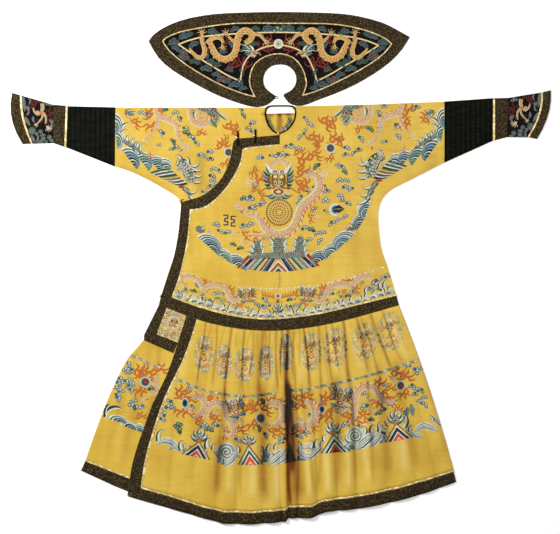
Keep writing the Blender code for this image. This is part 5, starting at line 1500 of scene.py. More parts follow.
def bodice_clouds(work):
    """Clouds over the whole bodice."""
    scatter(
        work, cloud,
        (279, 154.4, 1.5, 0, 0, 4), (272, 155.2, 1.0, 20, 1), (287, 154.8, 1.1, -10, 2),
        (260.4, 157.4, 1.35, 0, 0), (291, 146, 1.35, 0, 1, 4), (299, 148, 1.3, 10, 0),
        (286, 146.8, 1.0, 0, 2), (306.5, 119, 1.25, 60, 1), (311, 124.5, 1.3, 40, 0),
        (304.5, 131, 1.2, -50, 1), (299.6, 136.6, 1.2, -40, 0), (242, 110.6, 1.1, 70, 1),
        (244.4, 116, 1.1, 60, 3), (252.4, 123, 1.3, -20, 0), (248.6, 128.6, 1.2, 20, 2),
        (253, 131.4, 1.1, 0, 1), (141.5, 112.6, 1.2, 0, 1), (147.6, 114.4, 1.2, 30, 0),
        (165, 109.4, 1.2, 0, 3), (176, 112, 1.3, 0, 1), (180, 118.6, 1.2, 60, 2), (188, 133, 1.6, 40, 3),
        (193, 137.4, 1.4, 50, 0), (197, 143.6, 1.2, 40, 1), (163, 134, 1.5, 80, 0, 2),
        (174, 142, 1.3, 70, 3), (176.6, 147.4, 1.2, 0, 0), (171.5, 149, 1.0, 0, 1),
        (159.6, 145, 1.1, 0, 1, 2), (210, 151.6, 1.3, 0, 0), (201, 155, 1.3, 0, 1),
        (211, 158.6, 1.2, 10, 2), (206, 157, 1.0, 0, 0, 2), (214, 168.4, 1.3, 0, 1),
        (218.4, 170.6, 1.1, 40, 0), (213, 175.6, 1.3, 30, 2), (212.6, 180.4, 1.2, 0, 0),
        (210.6, 186, 1.3, 0, 1), (216, 184.4, 1.1, 0, 0), (205, 191.4, 1.1, 20, 0),
        (193, 112, 1.2, 80, 0), (214.6, 124, 1.3, 50, 3), (379, 113.6, 1.3, 70, 1),
        (384, 106.4, 1.2, 0, 0), (396, 127, 1.5, 85, 0, 2), (398.6, 136.6, 1.3, 50, 0),
        (384.4, 141, 1.2, 0, 1), (362, 139, 1.4, 60, 1), (370.6, 128.6, 1.5, 40, 3),
        (416.6, 106.8, 1.4, 0, 1), (347.6, 147.6, 1.3, 30, 0), (346, 154.2, 1.3, 0, 1),
        (353, 153, 1.1, -40, 0), (358.6, 150, 1.2, -10, 2), (316.6, 165.4, 1.5, -30, 3),
        (309.4, 172.4, 1.1, 0, 1), (342, 166.6, 1.3, 20, 1), (345, 172, 1.2, 40, 3),
        (338, 164.6, 1.0, 0, 0), (340, 180.4, 1.4, 0, 0), (347, 180.6, 1.2, 20, 1),
        (345.4, 187, 1.3, 0, 1), (350.6, 189, 1.2, -30, 0), (324.6, 186.4, 1.2, 60, 1),
        (327.6, 190.6, 1.2, 0, 0), (325.6, 200.6, 1.4, 0, 1), (340.6, 196.4, 1.4, 30, 0),
        (342.4, 200.6, 1.0, 0, 2), (348.6, 203.6, 1.2, 20, 0), (308.6, 191, 1.1, 0, 0, 2),
        (300, 197.6, 1.3, -60, 1), (299, 205, 1.3, 60, 1), (313.6, 208.4, 1.3, -30, 2),
        (350, 113, 1.2, 40, 3), (345, 122, 1.3, 60, 1), (314, 187, 0.9, 0, 0, 2), (256, 184.6, 1.1, 0, 1),
        (250, 198.4, 1.7, 0, 0), (244.4, 197.6, 1.4, 0, 3, 2), (262, 203.4, 1.4, -30, 0),
        (253, 207.4, 1.5, 20, 0), (257.4, 204.6, 1.1, 0, 2), (216.6, 224.6, 1.4, 20, 0),
        (221, 231, 1.2, 40, 0), (228, 231.6, 1.3, 0, 1), (250.4, 224.4, 1.4, -20, 0),
        (243, 226, 1.3, -20, 1), (234, 244, 1.2, 30, 3), (240.6, 247.6, 1.2, 0, 3),
        (305, 227, 1.4, -10, 0), (311.6, 229.6, 1.4, 20, 3), (317, 232.6, 1.2, -30, 0),
        (323, 232, 1.3, 0, 0), (309, 239.6, 1.2, -20, 1), (319.6, 240.4, 1.3, -40, 0),
        (332, 222.4, 1.4, -20, 1), (338, 220, 1.1, -30, 0), (326.4, 211, 1.0, 40, 1),
        (345, 216, 1.2, -20, 0), (186.6, 127.6, 1.2, 20, 1),
    )


# Half of the small fret sign on the chest. The other half is its mirror image, a little lower
FRET = [(223.4, 215.2), (227.8, 215.2), (227.8, 218.5), (224.7, 218.5), (224.7, 221.5), (227.8, 221.5),
        (227.8, 224.9), (223.4, 224.9)]
FRET_MIRROR, FRET_DROP = 229.5, 1.2


def fret(work):
    """A squared key fret, the ornament called fu."""
    pen = Pen(work, level=0.4)
    for line in (FRET, [(2 * FRET_MIRROR - u, v + FRET_DROP) for u, v in FRET]):
        for start, end in zip(line, line[1:]):
            pen.ribbon([start, end], 1.3, rimmed("navy", "slate", 0.6), straight=True)


# The round medallion under the dragon's chin, its rings of beads and the ring round them
MEDALLION, MEDALLION_RADIUS = (279.2, 212.4), 13.1
BEADS = ((12.2, 38, "brown"), (10.6, 33, "peach"), (9.2, 28, "brown"), (7.7, 24, "peach"),
         (6.3, 19, "brown"), (4.9, 15, "peach"), (3.5, 11, "brown"), (2.0, 6, "peach"))


def on_medallion(reach, angle):
    return (MEDALLION[0] + reach * math.cos(angle), MEDALLION[1] + reach * math.sin(angle))


def medallion(work):
    """Rings of small beads, with a line round them."""
    pen = Pen(work, level=0.4)
    for k, (reach, count, name) in enumerate(BEADS):
        for j in range(count):
            angle = 2 * math.pi * (j + 0.5 * (k % 2)) / count
            pen.rings(*on_medallion(reach, angle), (0.72,), tints(name), steps=7)
    circle = [on_medallion(MEDALLION_RADIUS, angle) for angle in np.linspace(0, 2 * math.pi, 25)[:-1]]
    pen.ribbon(circle, 0.5, plain("brown"), closed=True)


def make_bodice():
    """The embroidery of the bodice and its sleeves: dragons in a cloudy sky, over water with rocks."""
    work = Work("stitch_bodice", "cloth_body_left_half", "cloth_body_right_half", "cloth_outer_flap")
    water = Work("stitch_bodice_water", *work.grounds)
    for draw in (bodice_waves, standing_water, bodice_rocks, bodice_foam):
        draw(water)
    for draw in (bodice_dragons, shoulder_dragons, bodice_flames, bodice_clouds, fret, medallion):
        draw(work)
    return work, water


def turned_over(points, middle, drop=0.0):
    """Points turned over about an upright line, and moved down."""
    return points * (-1, 1, 1) + (2 * middle, drop, 0)


def mirrored(work, middle):
    """Adds everything on the work once more, turned over about an upright line."""
    work.points += [turned_over(points, middle) for points in work.points]
    work.faces += [faces + work.count for faces in work.faces]
    work.tints += work.tints
    work.count *= 2


def collar_half(work):
    """What lies on the collar's left half in the photo: two dragons, clouds and flames."""
    body(work, [(189.5, 48.5), (193, 53), (197.5, 57), (202.5, 57), (204.6, 51), (203, 44.5), (201.5, 39),
                (203.5, 35.5)], 4.2, COLLAR_DRAGON, (0.4, 0.8, 1, 1, 0.9, 0.7), 1, 0.5)
    body(work, [(207, 43.5), (210.5, 40), (216, 37.6), (221, 39), (223.4, 43.4)], 4.2, COLLAR_DRAGON,
         (0.9, 1, 0.9, 0.6), -1, 0.5)
    body(work, [(209.5, 41), (212.6, 48), (216.4, 55), (223.4, 59), (231, 57), (235.6, 50.4), (236.8, 42),
                (239, 34.6), (244, 30.4), (249.6, 31.6), (252.6, 36), (249.4, 41), (244.6, 43.4)], 5.8,
         COLLAR_DRAGON, (0.7, 1, 1, 1, 1, 0.95, 0.85, 0.7), 1, 0.6)
    body(work, [(252, 34.6), (258, 34.4), (262, 37.4), (264.4, 40.6)], 4.0, COLLAR_DRAGON,
         (1, 0.9, 0.7, 0.6), -1)
    body(work, [(240, 46), (233, 41), (228.4, 36.6)], 3.2, COLLAR_DRAGON, (1, 0.9, 0.7), 1, 0.5)
    for row in ((202, 33.6, 1.9, -95), (226.6, 34, 1.9, -140), (222.4, 46.6, 1.7, 75),
                (265.8, 41.6, 2.0, 50)):
        claw(work, *row, 1, 0.5, COLLAR_DRAGON, 0.7, "straw")
    side_head(work, 253.6, 52.6, 3.0, 18, 1, ("amber", "straw", "brown", "rust", "straw", "gold"),
              ("sea", "mist", "slate"))
    for path in ([(250, 49.6), (245, 45.6), (239, 44)], [(250, 51.6), (245, 50.6), (240, 51.6)]):
        Pen(work, level=1.2).ribbon(path, 0.8, plain("white"), (1, 0.8, 0.2))
    for u, v, size, turn, kind in (
        (174, 42, 1.9, 0, 0), (177, 48.4, 1.6, 40, 0), (184, 36, 1.8, -10, 0), (189.4, 34.4, 1.5, -20, 1),
        (193.6, 43.6, 1.8, -20, 0), (184, 51.4, 1.3, 30, 0), (196, 61, 1.9, 20, 1), (207, 68, 1.9, 20, 0),
        (211, 62.4, 1.8, 20, 1), (216.6, 64.4, 1.6, 0, 1), (217.4, 74, 1.6, 20, 0), (235, 84, 1.9, 10, 0),
        (241, 81.6, 1.4, 60, 0), (212.6, 31.4, 1.7, 10, 0), (216.4, 33, 1.2, 0, 1),
        (235, 28.4, 1.6, -10, 0), (232.4, 45, 1.5, 60, 0), (268, 28.4, 1.9, 0, 0), (256, 28, 1.5, 10, 1),
        (245.4, 46.6, 1.5, -30, 0), (254, 43.4, 1.5, 0, 1), (206.6, 55.4, 1.3, 60, 0),
        (223, 51.6, 1.4, 0, 1), (242.6, 72.6, 1.3, 80, 1), (229.6, 69.6, 1.4, 20, 1),
        (243.4, 87.6, 1.4, 0, 2), (275, 29, 1.3, 0, 1),
    ):
        cloud(work, u, v, size * 0.95, turn, COLLAR_HUES[kind % 2])
    for u, v in ((184.6, 56.2), (223.6, 79.4)):
        cloud(work, u, v, 1.9, 25, COLLAR_HUES[0], 4)
        for a, b in ((-1.6, 0.4), (1.4, -0.2), (0, -1.4)):
            disc(work, 0.9, u + a, v + b, (0.5, 1.1, 1.5), "dark_red", "indigo", "rust")
    for row in ((233, 67, 2.2, 20), (235.4, 61, 1.9, 160), (246.4, 67, 1.9, 10), (243.6, 62, 1.6, 150),
                (268, 51.4, 1.7, 80), (263, 49.6, 1.5, 60), (271, 39.4, 1.7, -60), (272, 46, 1.5, -110),
                (229, 41.6, 1.3, 20), (208, 51.4, 1.4, 30), (258, 44.6, 1.2, 80)):
        flame(work, *row, 1, 3, "dark_red")


# The gold line inside the collar's edge: its left tip, its outer curve, its right tip and its inner curve
COLLAR_LINE = [
    (178.5, 44.5), (190, 40.2), (206, 36.4), (225, 34.6), (250, 33.2), (278.4, 32.4), (306, 33.2),
    (331, 34.8), (350, 37), (366, 40.6), (378.5, 45.5), (362, 56), (345, 65.6), (331, 74), (316.6, 81.4),
    (315, 74), (312, 66), (307, 57), (299, 50.4), (289, 46.6), (278.4, 45.2), (268, 46.4), (258, 50),
    (249, 56.6), (243.6, 65), (241.4, 74), (240.4, 81.4), (226, 74.6), (212, 66), (199, 58), (187, 50.4),
    (178.5, 44.5),
]
COLLAR_CORNERS = (0, 10, 14, 26, 31)


def make_collar():
    """The embroidery of the collar, the same on both halves, with a pearl and a cloud in the middle."""
    work = Work("stitch_collar", "cloth_collar_panel")
    lines = Work("stitch_collar_lines", "cloth_collar_panel")
    collar_half(work)
    mirrored(work, 278.5)
    disc(work, 0.8, 278.4, 44, (1.2, 2.0, 3.0, 3.7, 4.8), "teal", "cream", "pale_green", "cream", "white")
    cloud(work, 278.4, 28.8, 2.0, 0, 3, 4)
    for first, last in zip(COLLAR_CORNERS, COLLAR_CORNERS[1:]):
        Pen(lines, level=0.25).ribbon(COLLAR_LINE[first : last + 1], 1.5, rimmed("cream", "gold", 0.5))
    return work, lines


CUFF_MIRROR, LEFT_CUFF_DROP = 281.6, -4.2


def make_cuff(side):
    """A hoof-shaped cuff: stalks of flowers, a dragon, flames and clouds on black satin."""
    work = Work("stitch_cuff_" + side, "cloth_cuff_right", "cloth_cuff_left")
    for path, width in (([(23.6, 95.6), (23.8, 103), (25.2, 112)], 3.6),
                        ([(25.2, 116.6), (27.4, 121), (30.6, 126.6)], 3.2),
                        ([(33.6, 116), (33.2, 119.6), (34.6, 123)], 2.6),
                        ([(31, 135), (33.4, 139), (35.6, 143.4)], 3.0),
                        ([(38.6, 136), (38, 139), (36.4, 142.6)], 2.0),
                        ([(28.6, 98), (30.4, 101), (28.6, 105.6)], 1.8),
                        ([(29.6, 111), (27.6, 114.6), (25.6, 115)], 1.8),
                        ([(51, 124), (52, 128), (49.6, 131)], 1.6)):
        Pen(work, level=0.1).ribbon(path, width, shaded("ash", "mist", "slate", "ash", "dusk"), LEAF)
    for u, v, r in ((32.3, 131, 4.2), (40.6, 131.6, 2.4), (43.4, 138.6, 2.7), (49.6, 137.4, 2.7),
                    (46.4, 142, 1.9)):
        disc(work, 0.4, u, v, np.array((0.16, 0.34, 0.5, 0.68, 0.84, 1.0)) * r,
             "ash", "dusk", "ash", "dusk", "mist", "dusk")
    for u, v, size, turn in ((37, 134, 1.0, 60), (28, 108.6, 1.0, 60), (49.6, 103.6, 1.2, 20),
                             (52, 122, 1.0, 60), (40.6, 142, 1.0, 0), (52.4, 141, 1.0, 40),
                             (43, 134.6, 0.9, 0)):
        cloud(work, u, v, size, turn, CUFF_HUE)
    for row in ((36.4, 102.6, 1.9, 0), (33.4, 105.4, 1.4, -40), (50, 113, 2.0, 10), (50.6, 118, 1.6, 160),
                (40.6, 120.6, 1.0, 200)):
        flame(work, *row, 1, 4, "maroon")
    body(work, [(42.4, 103.6), (42.8, 108.6), (41, 112.6), (37.6, 114.4), (34.4, 111.6), (33.4, 108)], 2.8,
         CUFF_DRAGON, (1.2, 1.1, 0.9, 0.7, 0.4), 1, 0.5)
    body(work, [(42, 112), (45.4, 115.6), (46.2, 120), (45.6, 124)], 2.1,
         CUFF_DRAGON, (1, 0.9, 0.8, 0.5), 1, 0.5)
    body(work, [(43, 113), (42, 118), (39.4, 121.6), (37, 124)], 2.0,
         CUFF_DRAGON, (1, 0.9, 0.7, 0.5), -1, 0.5)
    disc(work, 1.2, 41.4, 112.6, (0.8, 1.9), "flame", "orange")
    disc(work, 1.2, 37.8, 112, (0.9, 1.4), "red", "cream")
    claw(work, 48.0, 127.6, 1.6, 50, 1, 0.5, CUFF_DRAGON, 0.7)
    claw(work, 36.8, 124.6, 1.0, 140, 1, 0.5, CUFF_DRAGON, 0.7)
    if side == "left":
        work.points = [turned_over(points, CUFF_MIRROR, LEFT_CUFF_DROP) for points in work.points]
    return work


def make_cuffs():
    """Both cuffs' embroidery, each from the same drawing."""
    return make_cuff("right"), make_cuff("left")


# The waist panel's lower and upper edges
WAIST_FOOT = [
    (176, 296.5), (190, 300.5), (204, 304.6), (218, 308.6), (232, 312.4), (248, 315), (264, 316.4),
    (280, 316.6), (296, 315.6), (312, 313), (328, 309.6), (344, 305.6), (360, 301.2), (376, 296.6),
    (392, 292.4),
]
WAIST_TOP = [
    (184.6, 271.4), (200, 276.6), (222, 282.4), (246, 286.6), (270, 288.4), (300, 287.4), (326, 283.6),
    (350, 277.6), (372, 270.6), (385, 266.4),
]


def waist_waves(work):
    """A row of waves and horns along the panel's foot, small clouds over them, and dots along its top."""
    u = np.arange(177, 396, 7.6)
    low = np.interp(u, *np.array(WAIST_FOOT).T) + 1.2
    slope = np.degrees(np.arctan(np.gradient(low, u)))
    for k in range(62):
        a = 179 + 3.45 * k
        b = np.interp(a, u, low) - 7.4 - 3.6 * (k * 7 % 4)
        if k % 5 != 4:
            cloud(work, a, b, 0.9, 50 * k, 6 + k % 2, 1 + k % 3)
    for k, (a, b, turn) in enumerate(zip(u, low, slope)):
        hues = (("lilac", "pale_green"), ("pale_green", "straw"), ("cream", "pale_blue"),
                ("straw", "sea"))[k % 4]
        lean = 1 if k % 3 else -1
        horn(work, a - 1.6 * lean, b - 3.4, a + 3.0 * lean, b - 8.4 - 1.2 * (k % 2), 2.8, 0.6 * lean, 0.15,
             ("pale_green", "straw")[k % 2])
        fan(work, a, b, 12.4, 5.8 - 0.8 * (k % 2), turn, 1, hues, 0.25)
        disc(work, 0.7, a + 3.8, b - 1.6, (0.5, 1.0), "cream", ("olive", "sea", "slate")[k % 3])
    crag(work, 277.8, 312, 9.6, 9.0, 0, 1, 3, 0.5)
    for tip in ((380, 288, 383.6, 281), (384, 287, 389, 280.6), (366, 293, 369.6, 286.6)):
        horn(work, *tip, 3.0, 1, 0.5)
    for k, (a, b) in enumerate(Pen(work).line(WAIST_TOP, 1.9)):
        if k * 7 % 5 > 1:
            Pen(work, level=0.1).rings(a, b + 0.3 * math.sin(k), (0.5, 0.9 + 0.3 * (k % 2)),
                                       tints("white", "cream" if k % 3 else "straw"), steps=7)


PEARL_U = 277.9


def waist_dragons(work):
    """Two dragons after a pearl, with flames and clouds about them."""
    body(work, [(178, 287), (180.6, 280), (187, 276.6), (195, 278.4), (200.6, 283.4), (204, 290)], 5.0,
         taper=(0.4, 0.9, 1, 1, 0.9), side=-1)
    body(work, [(203.6, 292), (207.6, 286.6), (215, 284.6), (223, 287), (228, 293), (231.4, 300),
                (235, 301), (240, 297.4)], 5.2, taper=(0.7, 1, 1, 1, 0.9, 0.8), side=-1)
    body(work, [(374, 277.6), (369, 276), (361, 277), (355.6, 280.6), (352.6, 286)], 5.0,
         taper=(0.4, 0.9, 1, 1, 0.9))
    body(work, [(352, 288), (345.6, 284.6), (338, 284), (330.4, 287.6), (326, 293.6), (323, 300),
                (318.6, 301.4), (315, 297.6)], 5.2, taper=(0.7, 1, 1, 1, 0.9, 0.8))
    front_head(work, 246.6, 294.6, 14.4, 1.2, ("peach", "tan", "scarlet"), turn=-6)
    front_head(work, 307.4, 293.6, 14.4, 1.2, ("lilac", "tan", "scarlet"), turn=8)
    disc(work, 0.7, PEARL_U, 296, (0.8, 1.5, 2.1, 2.7), "red", "purple", "lilac", "white")
    Pen(work, level=0.7).ribbon([(277.8, 299), (277.8, 303)], 3.4, rimmed("rust", "brown", 0.5), (0.5, 1))
    for side in (-1, 1):
        for k in range(5):
            pen = Pen(work, PEARL_U + side * (3.6 + 2.6 * k), 296.6 - 0.5 * k, 1, 0, side, level=0.3)
            pen.ribbon([(0, 1.6), (1.4, -0.4), (1.2, -2.2), (2.8, -3.8)], 1.8, rimmed("flame", "rust", 0.5),
                       (1, 0.9, 0.5, 0.1))
    scatter(
        work, flame,
        (205.6, 282.4, 1.5, 30), (207, 288.6, 1.1, 120), (229, 289, 1.5, 30), (233.6, 300.4, 1.5, 130),
        (231.6, 295, 1.2, 70), (253, 292.4, 1.2, 70), (323.4, 288, 1.6, -20), (320.6, 298.6, 1.6, -130),
        (347, 281, 1.5, -10), (355.6, 288.6, 1.5, 90), (296.4, 293, 1.2, -60), (240, 305, 1.1, 200),
        (304, 303, 1.2, 60), (343, 291.6, 1.1, 200),
    )
    scatter(
        work, cloud,
        (217.6, 292.6, 1.2, 0, 0), (185.6, 290.4, 1.1, 20, 1), (181, 292.6, 1.2, 0, 0),
        (194.6, 290.6, 1.1, 20, 3), (210, 300, 1.0, 30, 3), (262.4, 306.6, 1.2, 20, 0),
        (268, 305, 1.1, 0, 1), (265, 299.6, 1.1, 60, 0), (291, 306.6, 1.2, 0, 0), (290, 299, 1.1, 0, 3),
        (296.6, 304.6, 1.1, 20, 1), (331, 293.4, 1.2, 0, 1), (353.4, 290.8, 1.2, 0, 0),
        (376, 282.4, 1.7, 0, 0, 4), (383, 277.4, 1.2, -20, 1), (387, 275, 1.2, -30, 0),
        (348, 295, 1.1, 0, 3), (371, 287.6, 1.1, 0, 1), (223, 300, 1.1, 0, 1), (380, 289, 1.0, 30, 3),
        (336, 301, 1.0, -20, 1), (201, 297, 1.0, 20, 0), (257, 304, 1.0, 0, 1),
    )
    for row in ((213, 290, 0.9, 60, 1), (186, 284.4, 0.9, 120, 1), (341, 290.4, 0.9, 110, 1),
                (362, 284, 0.9, 60, 1)):
        claw(work, *row, leg=0.8, bone="cream")


REN_HUES = ("straw", "cream", "pale_green", "straw", "olive", "gold", "cream")


def make_ren():
    """The small square at the side: one coiled dragon, closely worked."""
    ren = Work("stitch_ren", "cloth_ren_panel")
    for row in range(15):
        for column in range(14):
            a, b = 157 + 2.3 * column + 1.1 * (row % 2), 308 + 2.4 * row
            k = (row * 5 + column * 3) % len(REN_HUES)
            colours = tints(REN_HUES[k], REN_HUES[(k + 3) % len(REN_HUES)])
            Pen(ren).rings(a, b, (0.55, 1.35), colours, steps=7)
    body(ren, [(168, 331), (166.6, 325), (170, 319), (176.6, 318), (180, 322.6), (177.6, 328), (173, 330)],
         3.2, ("pale_peach", "peach", "brown", "gold", "cream", "rust"), (0.4, 0.9, 1, 1, 0.8), -1)
    front_head(ren, 174.6, 321.6, 9.6, turn=14, rich=False)
    for row in ((171.6, 313.4, 1.2, 20, 0), (178.6, 316, 1.0, 0, 1), (165.6, 318, 1.1, 60, 3),
                (164.4, 324, 1.1, 0, 0), (163.4, 330, 1.1, 30, 1), (170, 334.4, 1.1, 0, 3),
                (176.6, 335, 1.1, 20, 0), (181, 329, 1.0, 60, 1), (167.6, 311.4, 0.9, 0, 3),
                (160.4, 333, 1.0, 0, 0), (182.6, 320.6, 0.9, 40, 3), (174, 338, 0.9, 10, 1)):
        cloud(ren, *row[:4], 6)
    scatter(
        ren, flame,
        (180.6, 333.6, 1.2, 60), (167, 335.6, 1.2, -60), (180.6, 313.6, 1.0, 40), (168.6, 316, 1.2, -20),
        (172.4, 334, 1.0, 0),
    )
    return ren


def make_waist():
    """The band of the waist and the small square below it."""
    work = Work("stitch_waist", "cloth_waist_panel_front")
    waist_waves(work)
    waist_dragons(work)
    return work, make_ren()


def roundel(work, u, v, width, height, turn=0.0):
    """A coiled dragon facing out in an upright oval, in a ring of clouds."""
    squeeze = width / height
    pen = Pen(work, u, v, height / 2, turn, squeeze=squeeze, level=0.1)

    def spots(reach, count, shift=0.0):
        angle = 2 * math.pi * (np.arange(count) + shift) / count
        return pen.place(np.stack([reach * np.cos(angle), reach * np.sin(angle)], axis=1))

    for reach, count in ((0.62, 13), (0.4, 8)):
        for k, (a, b) in enumerate(spots(reach, count)):
            colours = tints(("cream", "straw", "tan")[k % 3], ("straw", "olive")[k % 2])
            Pen(work).rings(a, b, (0.45, 1.05), colours, steps=7)
    ring = Pen(work, level=0.1)
    for k, (a, b) in enumerate([*spots(0.8, 13), *spots(0.93, 15, 0.5)]):
        colours = tints(("white", "cream")[k % 2], ("ash", "mist", "olive")[k % 3],
                        ("pale_green", "cream", "straw", "cream")[k % 4], ("mist", "olive", "tan")[k % 3])
        ring.rings(a, b, (0.4, 0.75, 1.45, 1.75), colours, steps=8)
    for k, (a, b) in enumerate(spots(1.0, 19, 0.5)):
        ring.rings(a, b, (0.3, 0.7), tints("cream", ("olive", "mist", "pale_green")[k % 3]), steps=7)
    loop = [(0.14, -0.16), (0.46, -0.08), (0.56, 0.2), (0.32, 0.46), (0.0, 0.52), (-0.32, 0.46),
            (-0.54, 0.2), (-0.5, -0.05)]
    body(work, pen.place(loop), 2.6, ("straw", "peach", "rust", "gold", "cream", "rust"),
         (0.7, 1, 1, 1, 0.8, 0.4), -1)
    roots = pen.place([(-0.5, -0.3), (0.52, -0.36), (0.4, 0.62), (-0.42, 0.64), (0, 0.7)])
    for (x, y), turned in zip(roots, (260, 30, 100, 200, 150)):
        flame(work, x, y, 0.75, turned)
    (x, y), (x_chin, y_chin), (x_face, y_face) = pen.place([(0, 0.2), (0, -0.04), (0, -0.36)])
    Pen(work, level=0.6).rings(x, y, (0.5, 0.95, 1.5, 2.2), tints("flame", "orange", "cream", "rust"),
                               squash=1.15 / min(1, squeeze * 1.5))
    chin = [(x_chin - 2.2, y_chin - 1), (x_chin, y_chin + 1), (x_chin + 2.2, y_chin - 1)]
    Pen(work, level=0.5).ribbon(chin, 1.0, plain("brown"), (0.4, 1, 0.4))
    front_head(work, x_face, y_face, height * 0.23, min(1.0, squeeze * 1.45),
               ("lilac", "tan", "dark_red"), False)


def chain(work, path, size=1.9, gap=4.1):
    """A line of small linked clouds, with a red one now and then."""
    spots = Pen(work).line(path, gap)
    slope = np.degrees(np.arctan2(*np.gradient(spots, axis=0).T[::-1]))
    for k, ((u, v), tilt) in enumerate(zip(spots, slope)):
        link = Pen(work, u, v, size, tilt + (12 if k % 2 else -12), level=0.3)
        if k % 11 == 7:
            link.rings(0, 0, (0.35, 0.75, 1.1), tints("white", "red", "peach"), squash=0.7)
        else:
            hues = (("navy", "green", "dusk", "teal")[k % 4], ("white", "pale_green")[k % 2],
                    ("sea", "olive")[k % 2])
            link.rings(0, 0, (0.28, 0.98, 1.24), tints(*hues), squash=0.62)


def apron_roundels(rounds):
    """The roundels in the pleats: place, width, height and turn."""
    scatter(
        rounds, roundel,
        (204, 354, 19, 37, 6), (224, 361.5, 15, 34, 4), (244.5, 364.5, 20, 33, 2), (266, 362.5, 14, 34, 0),
        (286, 352, 12, 36, 0), (311, 351.5, 20, 37, -2), (335, 347, 23, 38, -4), (364.5, 341, 23, 36, -8),
        (390, 331.5, 25, 38, -10),
    )


